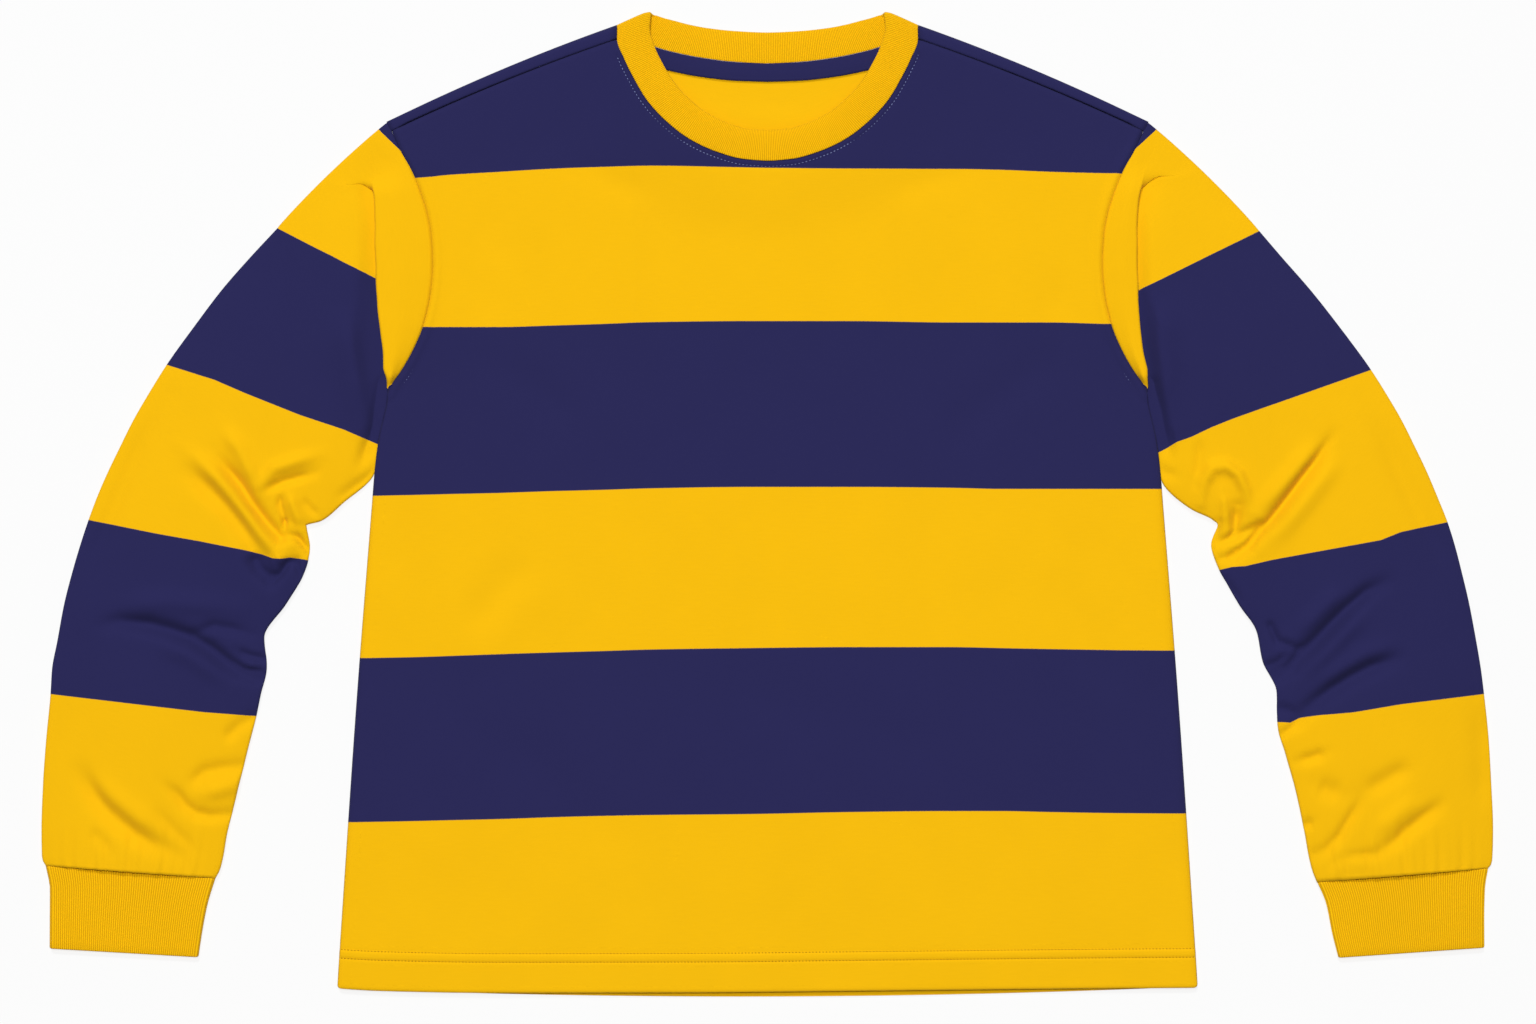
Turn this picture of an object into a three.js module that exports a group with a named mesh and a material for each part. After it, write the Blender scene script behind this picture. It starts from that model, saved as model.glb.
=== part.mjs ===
// A long-sleeved striped rugby shirt with a rib crew neck, laid flat on its back with both
// sleeves dropped beside the body. Millimetres, +Z up: +X is the wearer's left, +Y runs up
// to the neck, and the surface that the shirt lies on is Z = 0.
import * as THREE from "three";

// Cloth thicknesses and clearances
const CLOTH = 1.2;
const RIB = 2.4;
const TRIM = 1.0;
const SEAM_GAP = 0.3;
const ARMHOLE_GAP = 0.45;
const ARMPIT_GAP = 0.9;
const HALF_CLOTH = CLOTH / 2;
const HALF_RIB = RIB / 2;
const HEM_DEPTH = 28;

// Heights of the middle of each layer
const FLOOR_LAYER = HALF_CLOTH;
const MAIN_LAYER = 2.5;
const FLAP_LAYER = 6.0;
const EDGE_LAYER = 4.0;
const NECK_LAYER = 6.2;
const BODY_LAYER = 4.8;
const SIDE_SEAM_LAYER = CLOTH + SEAM_GAP + HALF_CLOTH;
const HEM_EDGE_LAYER = 2 * CLOTH + SEAM_GAP + 1.5 * CLOTH;
const HEM_TOP = -311;
const FACING_LAYER = CLOTH + SEAM_GAP + TRIM / 2;
const TAPE_LAYER = FACING_LAYER + TRIM + SEAM_GAP;
const CUFF_TOP_LAYER = 4.4;
const MOST_BEND = 0.8 * Math.PI;
const TIGHTEST_TURN = 0.85;
const WIDEST_TURN = 3;

// The main sleeve's height at the armpit, how far the pleat's flap stands over it where it is
// folded and where it is open, and how far the sleeve puffs up along its middle
const ARMPIT_MAIN_LAYER = 3.2;
const FLAP_RISE = 3.7;
const OPEN_RISE = 0.4;
const SLEEVE_SIDE_LAYER = 3.6;
const PUFF = 1.3;

// Landmarks of the flat shirt
const ARMPIT_Y = 77.7;
const TIP = { x: 266.0, y: 266.7 };
const NECK_POINT = { x: 105.35, y: 334.6 };
const SEAM_AT_NECK = { x: 105.0, y: 324.1 };
const SEAM_AT_TIP = { x: 262.9, y: 260.4 };
const SIDE_ROUND = 6;

// Half the body's width, from the hem up the side seam and the armhole to the shoulder tip
const BODY_EDGE = [
  { y: -346, half: 301.2 },
  { y: -337, half: 300.7 },
  { y: -250, half: 295.1 },
  { y: -138, half: 287.4 },
  { y: 0, half: 276.6 },
  { y: 20, half: 275.0 },
  { y: 35, half: 273.3 },
  { y: 50, half: 270.8 },
  { y: 62, half: 267.8 },
  { y: 71, half: 266.0 },
  { y: ARMPIT_Y, half: 265.5 },
  { y: 83.5, half: 262.9 },
  { y: 92.5, half: 256.3 },
  { y: 108.5, half: 247.2 },
  { y: 124, half: 240.8 },
  { y: 147, half: 235.6 },
  { y: 166, half: 234.0 },
  { y: 187, half: 235.0 },
  { y: 200, half: 237.2 },
  { y: 215, half: 241.6 },
  { y: 233, half: 249.0 },
  { y: 247, half: 256.8 },
  { y: SEAM_AT_TIP.y, half: SEAM_AT_TIP.x },
  { y: TIP.y, half: TIP.x },
];

// Heights up the edge at which the panels have a row, below and inside the armhole
const SIDE_ROWS = [-280, -235, -190, -145, -100, -60, -25, 0, 20, 35, 50, 62, 71];
const ARMHOLE_ROWS = [83.5, 92.5, 105, 121, 140, 160, 180, 199, 217, 234, 248];
const BACK_ARMHOLE_ROWS = [83.5, 105, 140, 180, 217, 248];

// The front hem's lower edge, and the back's, which shows below it
const FRONT_HEM = [
  { x: -301, y: -339.6 },
  { x: -271, y: -341.2 },
  { x: -187, y: -342.6 },
  { x: -54, y: -342.4 },
  { x: 58, y: -341.3 },
  { x: 233, y: -339.5 },
  { x: 301, y: -339.0 },
];
const BACK_HEM = { lowestX: -18, lowestY: -345.8, bow: 7.0e-5 };

// The neckband's seam and its free edge, from centre front up to the shoulder fold
const FRONT_NECK = [
  { seamX: 0, seamY: 239.4, freeX: 0, freeY: 260.8 },
  { seamX: 17.0, seamY: 240.7, freeX: 12.8, freeY: 261.5 },
  { seamX: 34.0, seamY: 245.2, freeX: 25.6, freeY: 264.8 },
  { seamX: 53.6, seamY: 254.1, freeX: 42.4, freeY: 272.9 },
  { seamX: 71.8, seamY: 268.1, freeX: 54.6, freeY: 282.6 },
  { seamX: 84.4, seamY: 282.1, freeX: 65.2, freeY: 294.2 },
  { seamX: 92.8, seamY: 296.1, freeX: 73.2, freeY: 307.3 },
  { seamX: 99.8, seamY: 310.1, freeX: 78.6, freeY: 318.6 },
  { seamX: SEAM_AT_NECK.x, seamY: SEAM_AT_NECK.y, freeX: 82.2, freeY: 332.0 },
];
const NECK_FOLD = { seamX: NECK_POINT.x, seamY: NECK_POINT.y, freeX: 81.9, freeY: 345.1 };

// The same edges at the back, from the shoulder fold down to centre back
const BACK_NECK = [
  { seamX: 97.0, seamY: 328.4, freeX: 78.2, freeY: 342.9 },
  { seamX: 88.0, seamY: 323.6, freeX: 72.6, freeY: 340.9 },
  { seamX: 77.4, seamY: 319.2, freeX: 65.6, freeY: 338.6 },
  { seamX: 63.4, seamY: 315.4, freeX: 55.5, freeY: 335.4 },
  { seamX: 47.3, seamY: 312.2, freeX: 43.0, freeY: 332.9 },
  { seamX: 22.8, seamY: 309.1, freeX: 21.4, freeY: 330.6 },
  { seamX: 0, seamY: 308.0, freeX: 0, freeY: 329.7 },
];
const TAPE_WIDTH = 13.0;
const FACING_DROP = 84;
const FACING_SIDE_DROP = 16;

// Where the sleeve's cap folds over itself beside the armhole: how far the fold reaches out
// from the seam, and how far its hidden valley lies back under it. Less than nothing is a
// valley that lies open, outside the fold.
const RIGHT_PLEAT = [
  { along: 0, reach: 22, tuck: -38 },
  { along: 0.1, reach: 26, tuck: -22 },
  { along: 0.18, reach: 29.5, tuck: -9 },
  { along: 0.27, reach: 33, tuck: -2 },
  { along: 0.365, reach: 37.5, tuck: 4 },
  { along: 0.46, reach: 40, tuck: 9 },
  { along: 0.56, reach: 39.5, tuck: 11 },
  { along: 0.66, reach: 36, tuck: 9 },
  { along: 0.755, reach: 29, tuck: 4 },
  { along: 0.84, reach: 20, tuck: -2.2 },
  { along: 0.91, reach: 12.5, tuck: -4 },
  { along: 1, reach: 5, tuck: -4 },
];
const LEFT_PLEAT = [
  { along: 0, reach: 16, tuck: -36 },
  { along: 0.1, reach: 15.5, tuck: -22 },
  { along: 0.18, reach: 16, tuck: -9 },
  { along: 0.27, reach: 18, tuck: -2 },
  { along: 0.365, reach: 21.5, tuck: 3 },
  { along: 0.46, reach: 24, tuck: 6 },
  { along: 0.56, reach: 24.5, tuck: 7.5 },
  { along: 0.66, reach: 22.5, tuck: 6 },
  { along: 0.755, reach: 19, tuck: 3 },
  { along: 0.84, reach: 13.5, tuck: -2.2 },
  { along: 0.91, reach: 9, tuck: -4 },
  { along: 1, reach: 5, tuck: -4 },
];

// Sleeve sections, by stripe: 1 is the end of the first stripe, 5 the cuff seam. Each goes
// from the outer edge to the underarm edge.
const RIGHT_SECTIONS = [
  { stripe: 1, outerX: 343.3, outerY: 192.5, innerX: 270.8, innerY: 68.0 },
  { stripe: 1.25, outerX: 362.2, outerY: 172.2, innerX: 271.2, innerY: 62.0 },
  { stripe: 1.5, outerX: 381.8, outerY: 149.8, innerX: 271.8, innerY: 56.0 },
  { stripe: 1.75, outerX: 401.4, outerY: 123.9, innerX: 272.6, innerY: 49.5 },
  { stripe: 2, outerX: 421.0, outerY: 96.6, innerX: 273.0, innerY: 40.2 },
  { stripe: 2.17, outerX: 431.5, outerY: 79.8, innerX: 275.8, innerY: 21.7 },
  { stripe: 2.4, outerX: 444.5, outerY: 57.4, innerX: 297.1, innerY: 0.0 },
  { stripe: 2.6, outerX: 453.9, outerY: 38.5, innerX: 311.8, innerY: -12.2 },
  { stripe: 2.72, outerX: 462.0, outerY: 21.7, innerX: 322.7, innerY: -16.4 },
  { stripe: 2.86, outerX: 469.3, outerY: 4.9, innerX: 320.6, innerY: -30.1 },
  { stripe: 3, outerX: 475.6, outerY: -11.9, innerX: 321.6, innerY: -39.9 },
  { stripe: 3.15, outerX: 481.6, outerY: -30.1, innerX: 325.5, innerY: -51.4 },
  { stripe: 3.3, outerX: 487.5, outerY: -50.4, innerX: 337.0, innerY: -70.7 },
  { stripe: 3.47, outerX: 492.8, outerY: -71.4, innerX: 352.4, innerY: -94.1 },
  { stripe: 3.65, outerX: 497.3, outerY: -95.9, innerX: 350.7, innerY: -114.1 },
  { stripe: 3.85, outerX: 501.2, outerY: -116.9, innerX: 354.9, innerY: -134.4 },
  { stripe: 4, outerX: 502.2, outerY: -133.7, innerX: 358.0, innerY: -149.1 },
  { stripe: 4.25, outerX: 505.4, outerY: -167.3, innerX: 364.7, innerY: -175.7 },
  { stripe: 4.5, outerX: 507.5, outerY: -198.1, innerX: 371.7, innerY: -204.4 },
  { stripe: 4.75, outerX: 508.5, outerY: -227.5, innerX: 378.3, innerY: -231.0 },
  { stripe: 4.97, outerX: 508.2, outerY: -248.5, innerX: 383.2, innerY: -256.2 },
  { stripe: 5, outerX: 505.7, outerY: -253.7, innerX: 386.4, innerY: -262.5 },
];
const LEFT_SECTIONS = [
  { stripe: 1, outerX: 344.0, outerY: 191.1, innerX: 270.8, innerY: 68.0 },
  { stripe: 1.25, outerX: 360.8, outerY: 171.5, innerX: 271.2, innerY: 62.0 },
  { stripe: 1.5, outerX: 380.4, outerY: 149.1, innerX: 271.8, innerY: 56.0 },
  { stripe: 1.75, outerX: 400.8, outerY: 123.2, innerX: 272.8, innerY: 48.5 },
  { stripe: 2, outerX: 422.4, outerY: 93.8, innerX: 274.0, innerY: 35.3 },
  { stripe: 2.17, outerX: 432.2, outerY: 78.4, innerX: 275.8, innerY: 16.8 },
  { stripe: 2.4, outerX: 444.5, outerY: 57.4, innerX: 295.8, innerY: -3.8 },
  { stripe: 2.6, outerX: 453.9, outerY: 38.5, innerX: 311.1, innerY: -11.5 },
  { stripe: 2.72, outerX: 461.6, outerY: 22.4, innerX: 315.3, innerY: -15.7 },
  { stripe: 2.86, outerX: 469.3, outerY: 4.2, innerX: 310.8, innerY: -29.4 },
  { stripe: 3, outerX: 476.3, outerY: -13.3, innerX: 315.7, innerY: -45.5 },
  { stripe: 3.15, outerX: 481.6, outerY: -30.1, innerX: 322.3, innerY: -57.4 },
  { stripe: 3.3, outerX: 486.8, outerY: -50.4, innerX: 330.8, innerY: -72.1 },
  { stripe: 3.5, outerX: 491.4, outerY: -70.0, innerX: 342.6, innerY: -90.3 },
  { stripe: 3.65, outerX: 496.3, outerY: -95.9, innerX: 346.5, innerY: -109.9 },
  { stripe: 3.85, outerX: 499.8, outerY: -116.9, innerX: 356.6, innerY: -133.0 },
  { stripe: 4, outerX: 501.9, outerY: -133.7, innerX: 357.0, innerY: -152.9 },
  { stripe: 4.25, outerX: 505.4, outerY: -167.3, innerX: 362.9, innerY: -176.4 },
  { stripe: 4.5, outerX: 507.1, outerY: -198.1, innerX: 369.2, innerY: -198.8 },
  { stripe: 4.75, outerX: 508.2, outerY: -227.5, innerX: 375.5, innerY: -227.5 },
  { stripe: 4.97, outerX: 507.5, outerY: -251.3, innerX: 381.1, innerY: -256.2 },
  { stripe: 5, outerX: 505.0, outerY: -255.5, innerX: 384.6, innerY: -265.3 },
];

// How the sections that the pleat meets go on to the underarm: from a corner beside the fold,
// bowed toward a second place
const RIGHT_CORNERS = [
  { stripe: 1, at: 0.54, x: 277, y: 153.5, bowX: 288, bowY: 98 },
  { stripe: 1.25, at: 0.64, x: 284, y: 129, bowX: 292, bowY: 90 },
  { stripe: 1.5, at: 0.74, x: 293, y: 105, bowX: 294, bowY: 82 },
];
const LEFT_CORNERS = [
  { stripe: 1, at: 0.54, x: 263, y: 149.5, bowX: 288, bowY: 98 },
  { stripe: 1.25, at: 0.64, x: 275, y: 125, bowX: 292, bowY: 90 },
  { stripe: 1.5, at: 0.74, x: 288, y: 102, bowX: 294, bowY: 82 },
];

// Cuff sections from the seam to the open end
const RIGHT_CUFF = [
  { outerX: 505.0, outerY: -254.6, innerX: 387.1, innerY: -263.3 },
  { outerX: 502.5, outerY: -270.2, innerX: 392.0, innerY: -280.0 },
  { outerX: 502.6, outerY: -290.5, innerX: 395.5, innerY: -297.5 },
  { outerX: 502.7, outerY: -311.8, innerX: 398.6, innerY: -317.8 },
];
const LEFT_CUFF = [
  { outerX: 504.3, outerY: -256.4, innerX: 385.3, innerY: -266.1 },
  { outerX: 502.6, outerY: -270.2, innerX: 390.9, innerY: -280.0 },
  { outerX: 502.2, outerY: -290.5, innerX: 395.1, innerY: -300.3 },
  { outerX: 502.2, outerY: -311.1, innerX: 399.7, innerY: -318.1 },
];

// The largest troughs of the cloth, as segments that the cloth dips along
const RIGHT_TROUGHS = [
  { fromX: 389, fromY: 48, toX: 345, toY: -12, width: 8, depth: 1.6 },
  { fromX: 367, fromY: 1, toX: 338, toY: -22, width: 7, depth: 1.5 },
  { fromX: 445, fromY: -78, toX: 362, toY: -112, width: 9, depth: 1.6 },
  { fromX: 392, fromY: -195, toX: 384, toY: -222, width: 9, depth: 0.9 },
  { fromX: 471, fromY: -202, toX: 433, toY: -246, width: 9, depth: 0.9 },
];
const LEFT_TROUGHS = [
  { fromX: 394, fromY: 48, toX: 342, toY: -28, width: 8, depth: 1.6 },
  { fromX: 325, fromY: -10, toX: 316, toY: -34, width: 6, depth: 1.3 },
  { fromX: 424, fromY: -64, toX: 353, toY: -110, width: 9, depth: 1.6 },
  { fromX: 458, fromY: -105, toX: 368, toY: -144, width: 9, depth: 1.5 },
  { fromX: 444, fromY: -241, toX: 468, toY: -222, width: 9, depth: 0.9 },
];
const BODY_TROUGHS = [
  { fromX: -215, fromY: 110, toX: -120, toY: 40, width: 16, depth: 0.9 },
  { fromX: 215, fromY: 112, toX: 115, toY: 30, width: 16, depth: 0.9 },
  { fromX: -60, fromY: -120, toX: 150, toY: -205, width: 24, depth: 0.7 },
  { fromX: -210, fromY: -150, toX: -80, toY: -265, width: 22, depth: 0.7 },
  { fromX: -70, fromY: 215, toX: -150, toY: 245, width: 14, depth: 0.6 },
  { fromX: 75, fromY: 218, toX: 160, toY: 240, width: 14, depth: 0.6 },
];

// Colours
const YELLOW = 0xf8c010;
const NAVY = 0x2d2c5a;
const RIB_YELLOW = 0xf0b80c;
const COTTON_ROUGHNESS = 0.9;

// Value of a table's column at a place between its rows
function lookUp(table, place, column, at) {
  const rising = table[table.length - 1][place] > table[0][place];
  const rows = rising ? table : [...table].reverse();
  if (at <= rows[0][place]) return rows[0][column];
  for (let i = 1; i < rows.length; i += 1) {
    if (at <= rows[i][place]) {
      const share = (at - rows[i - 1][place]) / (rows[i][place] - rows[i - 1][place]);
      return THREE.MathUtils.lerp(rows[i - 1][column], rows[i][column], share);
    }
  }
  return rows[rows.length - 1][column];
}

const halfWidth = (y) => lookUp(BODY_EDGE, "y", "half", y);
const flat = (x, y) => new THREE.Vector2(x, y);
const lift = (place, z) => new THREE.Vector3(place.x, place.y, z);
const { lerp, smoothstep } = THREE.MathUtils;

// The outline along the shoulder, where the back panel turns over to the front
function shoulderFoldY(x) {
  const run = Math.abs(x) - NECK_POINT.x;
  return NECK_POINT.y - 0.35 * run - 0.00043 * run * run;
}

function shoulderSeamY(x) {
  const share = (Math.abs(x) - SEAM_AT_NECK.x) / (SEAM_AT_TIP.x - SEAM_AT_NECK.x);
  return shoulderFoldY(x) - lerp(10.4, 8.3, share);
}

function shoulderLayer(x) {
  return lerp(NECK_LAYER, EDGE_LAYER, (Math.abs(x) - NECK_POINT.x) / (TIP.x - NECK_POINT.x));
}

const frontHemY = (x) => lookUp(FRONT_HEM, "x", "y", x);
const backHemY = (x) => BACK_HEM.lowestY + BACK_HEM.bow * (x - BACK_HEM.lowestX) ** 2;

// The front layer's height along the armhole seam
function armholeLayer(y) {
  const share = THREE.MathUtils.clamp((TIP.y - y) / (TIP.y - ARMPIT_Y), 0, 1);
  return EDGE_LAYER + (FLAP_LAYER - EDGE_LAYER) * Math.sin(Math.PI * share) ** 0.4;
}

// How far the cloth dips at a place
function troughDepth(troughs, x, y) {
  let depth = 0;
  for (const trough of troughs) {
    const start = flat(trough.fromX, trough.fromY);
    const run = flat(trough.toX, trough.toY).sub(start);
    const offset = flat(x, y).sub(start);
    const share = offset.dot(run) / run.lengthSq();
    const across = offset.clone().sub(run.clone().multiplyScalar(share)).length();
    const fade = smoothstep(share, -0.15, 0.2) * (1 - smoothstep(share, 0.8, 1.15));
    depth += trough.depth * fade * Math.exp(-((across / trough.width) ** 2));
  }
  return depth;
}

// A wall of cloth through a grid of points. Rows run along the piece and columns across it,
// and a closed grid joins its last column to its first. Each point has a place, and how far
// the wall stands above and below it, along a normal of its own or the grid's.
function clothWall(name, grid, colour, { closed = false, flip = false } = {}) {
  const rows = grid.length;
  const columns = Math.max(...grid.map((row) => row.length));
  const wrap = (j) => (closed ? (j + columns) % columns : j);
  const point = (i, j) => grid[i]?.[wrap(j)];

  const normalAt = (i, j) => {
    const here = point(i, j);
    const after = point(i, j + 1) ?? here;
    const before = point(i, j - 1) ?? here;
    const above = point(i + 1, j) ?? here;
    const below = point(i - 1, j) ?? here;
    const across = after.place.clone().sub(before.place).normalize();
    const along = above.place.clone().sub(below.place).normalize();
    const normal = across.cross(along).normalize();
    return flip ? normal.negate() : normal;
  };

  const positions = [];
  const index = new Map();
  for (let i = 0; i < rows; i += 1) {
    for (let j = 0; j < columns; j += 1) {
      const here = point(i, j);
      if (!here) continue;
      const normal = here.normal ?? normalAt(i, j);
      index.set(`${i},${j}`, positions.length / 3);
      positions.push(...here.place.clone().addScaledVector(normal, here.above));
      positions.push(...here.place.clone().addScaledVector(normal, -here.below));
    }
  }
  const top = (i, j) => index.get(`${i},${wrap(j)}`);
  const under = (i, j) => top(i, j) + 1;
  const faces = [];
  const quad = (a, b, c, d) => (flip ? faces.push(a, d, c, a, c, b) : faces.push(a, b, c, a, c, d));
  const hasCell = (i, j) => {
    if (i < 0 || i >= rows - 1) return false;
    if (!closed && (j < 0 || j >= columns - 1)) return false;
    return [point(i, j), point(i, j + 1), point(i + 1, j), point(i + 1, j + 1)].every(Boolean);
  };
  const lastColumn = closed ? columns : columns - 1;
  for (let i = 0; i < rows - 1; i += 1) {
    for (let j = 0; j < lastColumn; j += 1) {
      if (!hasCell(i, j)) continue;
      quad(top(i, j), top(i, j + 1), top(i + 1, j + 1), top(i + 1, j));
      quad(under(i, j), under(i + 1, j), under(i + 1, j + 1), under(i, j + 1));
      if (!hasCell(i - 1, j)) quad(under(i, j), under(i, j + 1), top(i, j + 1), top(i, j));
      if (!hasCell(i + 1, j)) {
        quad(top(i + 1, j), top(i + 1, j + 1), under(i + 1, j + 1), under(i + 1, j));
      }
      if (!hasCell(i, wrap(j - 1))) quad(under(i + 1, j), under(i, j), top(i, j), top(i + 1, j));
      if (!hasCell(i, wrap(j + 1))) {
        quad(top(i + 1, j + 1), top(i, j + 1), under(i, j + 1), under(i + 1, j + 1));
      }
    }
  }
  const geometry = new THREE.BufferGeometry();
  geometry.setAttribute("position", new THREE.Float32BufferAttribute(positions, 3));
  geometry.setIndex(faces);
  geometry.computeVertexNormals();
  const material = new THREE.MeshStandardMaterial({
    color: colour,
    roughness: COTTON_ROUGHNESS,
    metalness: 0,
  });
  const mesh = new THREE.Mesh(geometry, material);
  mesh.name = name;
  return mesh;
}

const plain = (place, half = HALF_CLOTH) => ({ place, above: half, below: half });

// Points round a folded edge, from the top layer to the bottom one. The edge's outermost
// place, the ways in from it on both layers, and the two layers' heights give the turn.
function foldedEdge(edge, topWay, bottomWay, topLayer, bottomLayer, half, turns) {
  const turn = (topLayer - bottomLayer) / 2;
  const middle = (topLayer + bottomLayer) / 2;
  return turns.map((angle) => {
    const inset = turn + half - turn * Math.sin(angle);
    const way = topWay.clone().lerp(bottomWay, angle / Math.PI).normalize();
    return lift(edge.clone().addScaledVector(way, inset), middle + turn * Math.cos(angle));
  });
}

// Columns of the body panels: places along the neckline and the shoulder, as shares of the
// body's half width, each with the height at which the column ends
function bodyColumns(neckRows, shoulderEndY) {
  const shoulder = [0, 0.1, 0.35, 0.62, 0.86].map((share) => {
    const x = lerp(NECK_POINT.x + SEAM_GAP, SEAM_AT_TIP.x, share);
    return { share: x / halfWidth(shoulderEndY(x)), topY: shoulderEndY(x), onShoulder: true };
  });
  const edges = [0.972, 0.988, 1].map((share) => {
    const x = share * SEAM_AT_TIP.x;
    return { share, topY: shoulderEndY(x), onShoulder: true };
  });
  const neck = neckRows.map(({ seamX, seamY }) => {
    return { share: seamX / halfWidth(seamY), topY: seamY - SEAM_GAP, onShoulder: false };
  });
  const half = [...neck, ...shoulder, ...edges];
  const mirrored = half
    .filter(({ share }) => share > 0)
    .map((column) => ({ ...column, share: -column.share }))
    .reverse();
  return [...mirrored, ...half];
}

// Height up a column for a row that is named by its height at the panel's edge
function rowY(column, edgeY, hemY) {
  const hemTop = hemY(column.share * BODY_EDGE[1].half) + HEM_DEPTH;
  const edgeHemTop = hemY(Math.sign(column.share || 1) * BODY_EDGE[1].half) + HEM_DEPTH;
  return lerp(hemTop, column.topY, (edgeY - edgeHemTop) / (SEAM_AT_TIP.y - edgeHemTop));
}

const hemRowY = (column, share, hemY) => hemY(column.share * BODY_EDGE[1].half) + share * HEM_DEPTH;
const HEM_ROWS = [0, 0.5, 0.97];

function frontLayer(column, x, y, edgeY, inHem) {
  const fromEdge = (1 - Math.abs(column.share)) * halfWidth(y);
  const endLayer = column.onShoulder ? shoulderLayer(x) : NECK_LAYER;
  const towardEnd = smoothstep((column.topY - y) / 60, 0, 1);
  let layer = BODY_LAYER - troughDepth(BODY_TROUGHS, x, y);
  layer = lerp(endLayer, layer, towardEnd);
  if (edgeY > ARMPIT_Y) {
    const seamLayer = lerp(armholeLayer(edgeY), endLayer, smoothstep(edgeY, 235, SEAM_AT_TIP.y));
    return lerp(seamLayer, layer, smoothstep(fromEdge, 0, 45));
  }
  const aboveHem = smoothstep(edgeY, HEM_TOP, SIDE_ROWS[0]);
  const low = inHem ? HEM_EDGE_LAYER : lerp(HEM_EDGE_LAYER - CLOTH / 2, SIDE_SEAM_LAYER, aboveHem);
  const edgeLayer = lerp(low, EDGE_LAYER, smoothstep(edgeY, ARMPIT_Y - 12, ARMPIT_Y));
  const round = Math.min(fromEdge / SIDE_ROUND, 1);
  return lerp(edgeLayer, Math.max(layer, edgeLayer), Math.sqrt(1 - (1 - round) ** 2));
}

function makeFront() {
  const columns = bodyColumns([...FRONT_NECK].slice(0, -1), (x) => shoulderSeamY(x) - SEAM_GAP / 2);
  const rowPoint = (column, y, edgeY, inHem) => {
    const x = column.share * halfWidth(y);
    const place = new THREE.Vector3(x, y, frontLayer(column, x, y, edgeY, inHem));
    return { place, above: HALF_CLOTH, below: inHem ? HALF_CLOTH + CLOTH : HALF_CLOTH };
  };
  const hem = HEM_ROWS.map((share) => {
    return columns.map((column) => rowPoint(column, hemRowY(column, share, frontHemY), -340, true));
  });
  const edgeRows = [HEM_TOP, ...SIDE_ROWS, ARMPIT_Y, ...ARMHOLE_ROWS, SEAM_AT_TIP.y];
  const upper = edgeRows.map((edgeY) => {
    return columns.map((column) => rowPoint(column, rowY(column, edgeY, frontHemY), edgeY, false));
  });
  return clothWall("front", [...hem, ...upper], YELLOW);
}

// The back lies flat, and along each shoulder it turns over and ends in the shoulder seam
function makeBack() {
  const columns = bodyColumns([...BACK_NECK].reverse(), (x) => shoulderSeamY(x) + SEAM_GAP / 2);
  const onFloor = (column, y, inHem) => {
    const place = new THREE.Vector3(column.share * halfWidth(y), y, FLOOR_LAYER);
    return { place, above: inHem ? HALF_CLOTH + CLOTH : HALF_CLOTH, below: HALF_CLOTH };
  };
  const hem = HEM_ROWS.map((share) => {
    return columns.map((column) => onFloor(column, hemRowY(column, share, backHemY), true));
  });
  const sideRows = SIDE_ROWS.filter((y) => y >= 0 || y % 95 === 0 || y === -100);
  const edgeRows = [HEM_TOP, ...sideRows, ARMPIT_Y, ...BACK_ARMHOLE_ROWS];
  const plate = edgeRows.map((edgeY) => {
    return columns.map((column) => onFloor(column, rowY(column, edgeY, backHemY), false));
  });
  const turns = [Math.PI, 0.8 * Math.PI, 0.6 * Math.PI, 0.4 * Math.PI, 0.2 * Math.PI, 0];
  const ends = columns.map((column) => {
    if (!column.onShoulder) return [onFloor(column, column.topY, false)];
    const seamX = column.share * halfWidth(column.topY);
    const foldY = shoulderFoldY(column.share * halfWidth(shoulderFoldY(seamX)));
    const down = flat(0, -1);
    const layer = shoulderLayer(seamX);
    const round = foldedEdge(flat(0, foldY), down, down, layer, FLOOR_LAYER, HALF_CLOTH, turns);
    const over = round.map(({ y, z }) => plain(new THREE.Vector3(column.share * halfWidth(y), y, z)));
    return [...over, plain(new THREE.Vector3(seamX, column.topY, layer))];
  });
  const wraps = [0, 1, 2, 3, 4, 5, 6].map((row) => ends.map((end) => end[row]));
  return clothWall("back", [...hem, ...plate, ...wraps], YELLOW);
}

const bowed = (start, bow, end, share) => {
  const first = start.clone().lerp(bow, share);
  return first.lerp(bow.clone().lerp(end, share), share);
};

// A section's place from its outer edge (0) to its underarm edge (1)
function sectionPlace(section, along, corner) {
  const outer = flat(section.outerX, section.outerY);
  const inner = flat(section.innerX, section.innerY);
  if (!corner) return outer.lerp(inner, along);
  const turn = flat(corner.x, corner.y);
  if (along < corner.at) return outer.lerp(turn, along / corner.at);
  const share = (along - corner.at) / (1 - corner.at);
  return bowed(turn, flat(corner.bowX, corner.bowY), inner, share);
}

// The armhole seam as the sleeve's first section: stations down it from the shoulder tip,
// which stand further off the body where the seam runs into the armpit
function armholeStations(heights) {
  const rows = [TIP.y, SEAM_AT_TIP.y, ...[...heights].reverse(), ARMPIT_Y];
  const places = rows.map((y) => {
    const gap = lerp(HALF_CLOTH + ARMPIT_GAP, ARMHOLE_GAP, smoothstep(y, ARMPIT_Y, 106));
    return flat(halfWidth(y) + gap, y);
  });
  const lengths = places.map((place, i) => (i === 0 ? 0 : place.distanceTo(places[i - 1])));
  const total = lengths.reduce((sum, length) => sum + length, 0);
  let run = 0;
  return places.map((place, i) => {
    run += lengths[i];
    return { along: run / total, place };
  });
}

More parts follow.
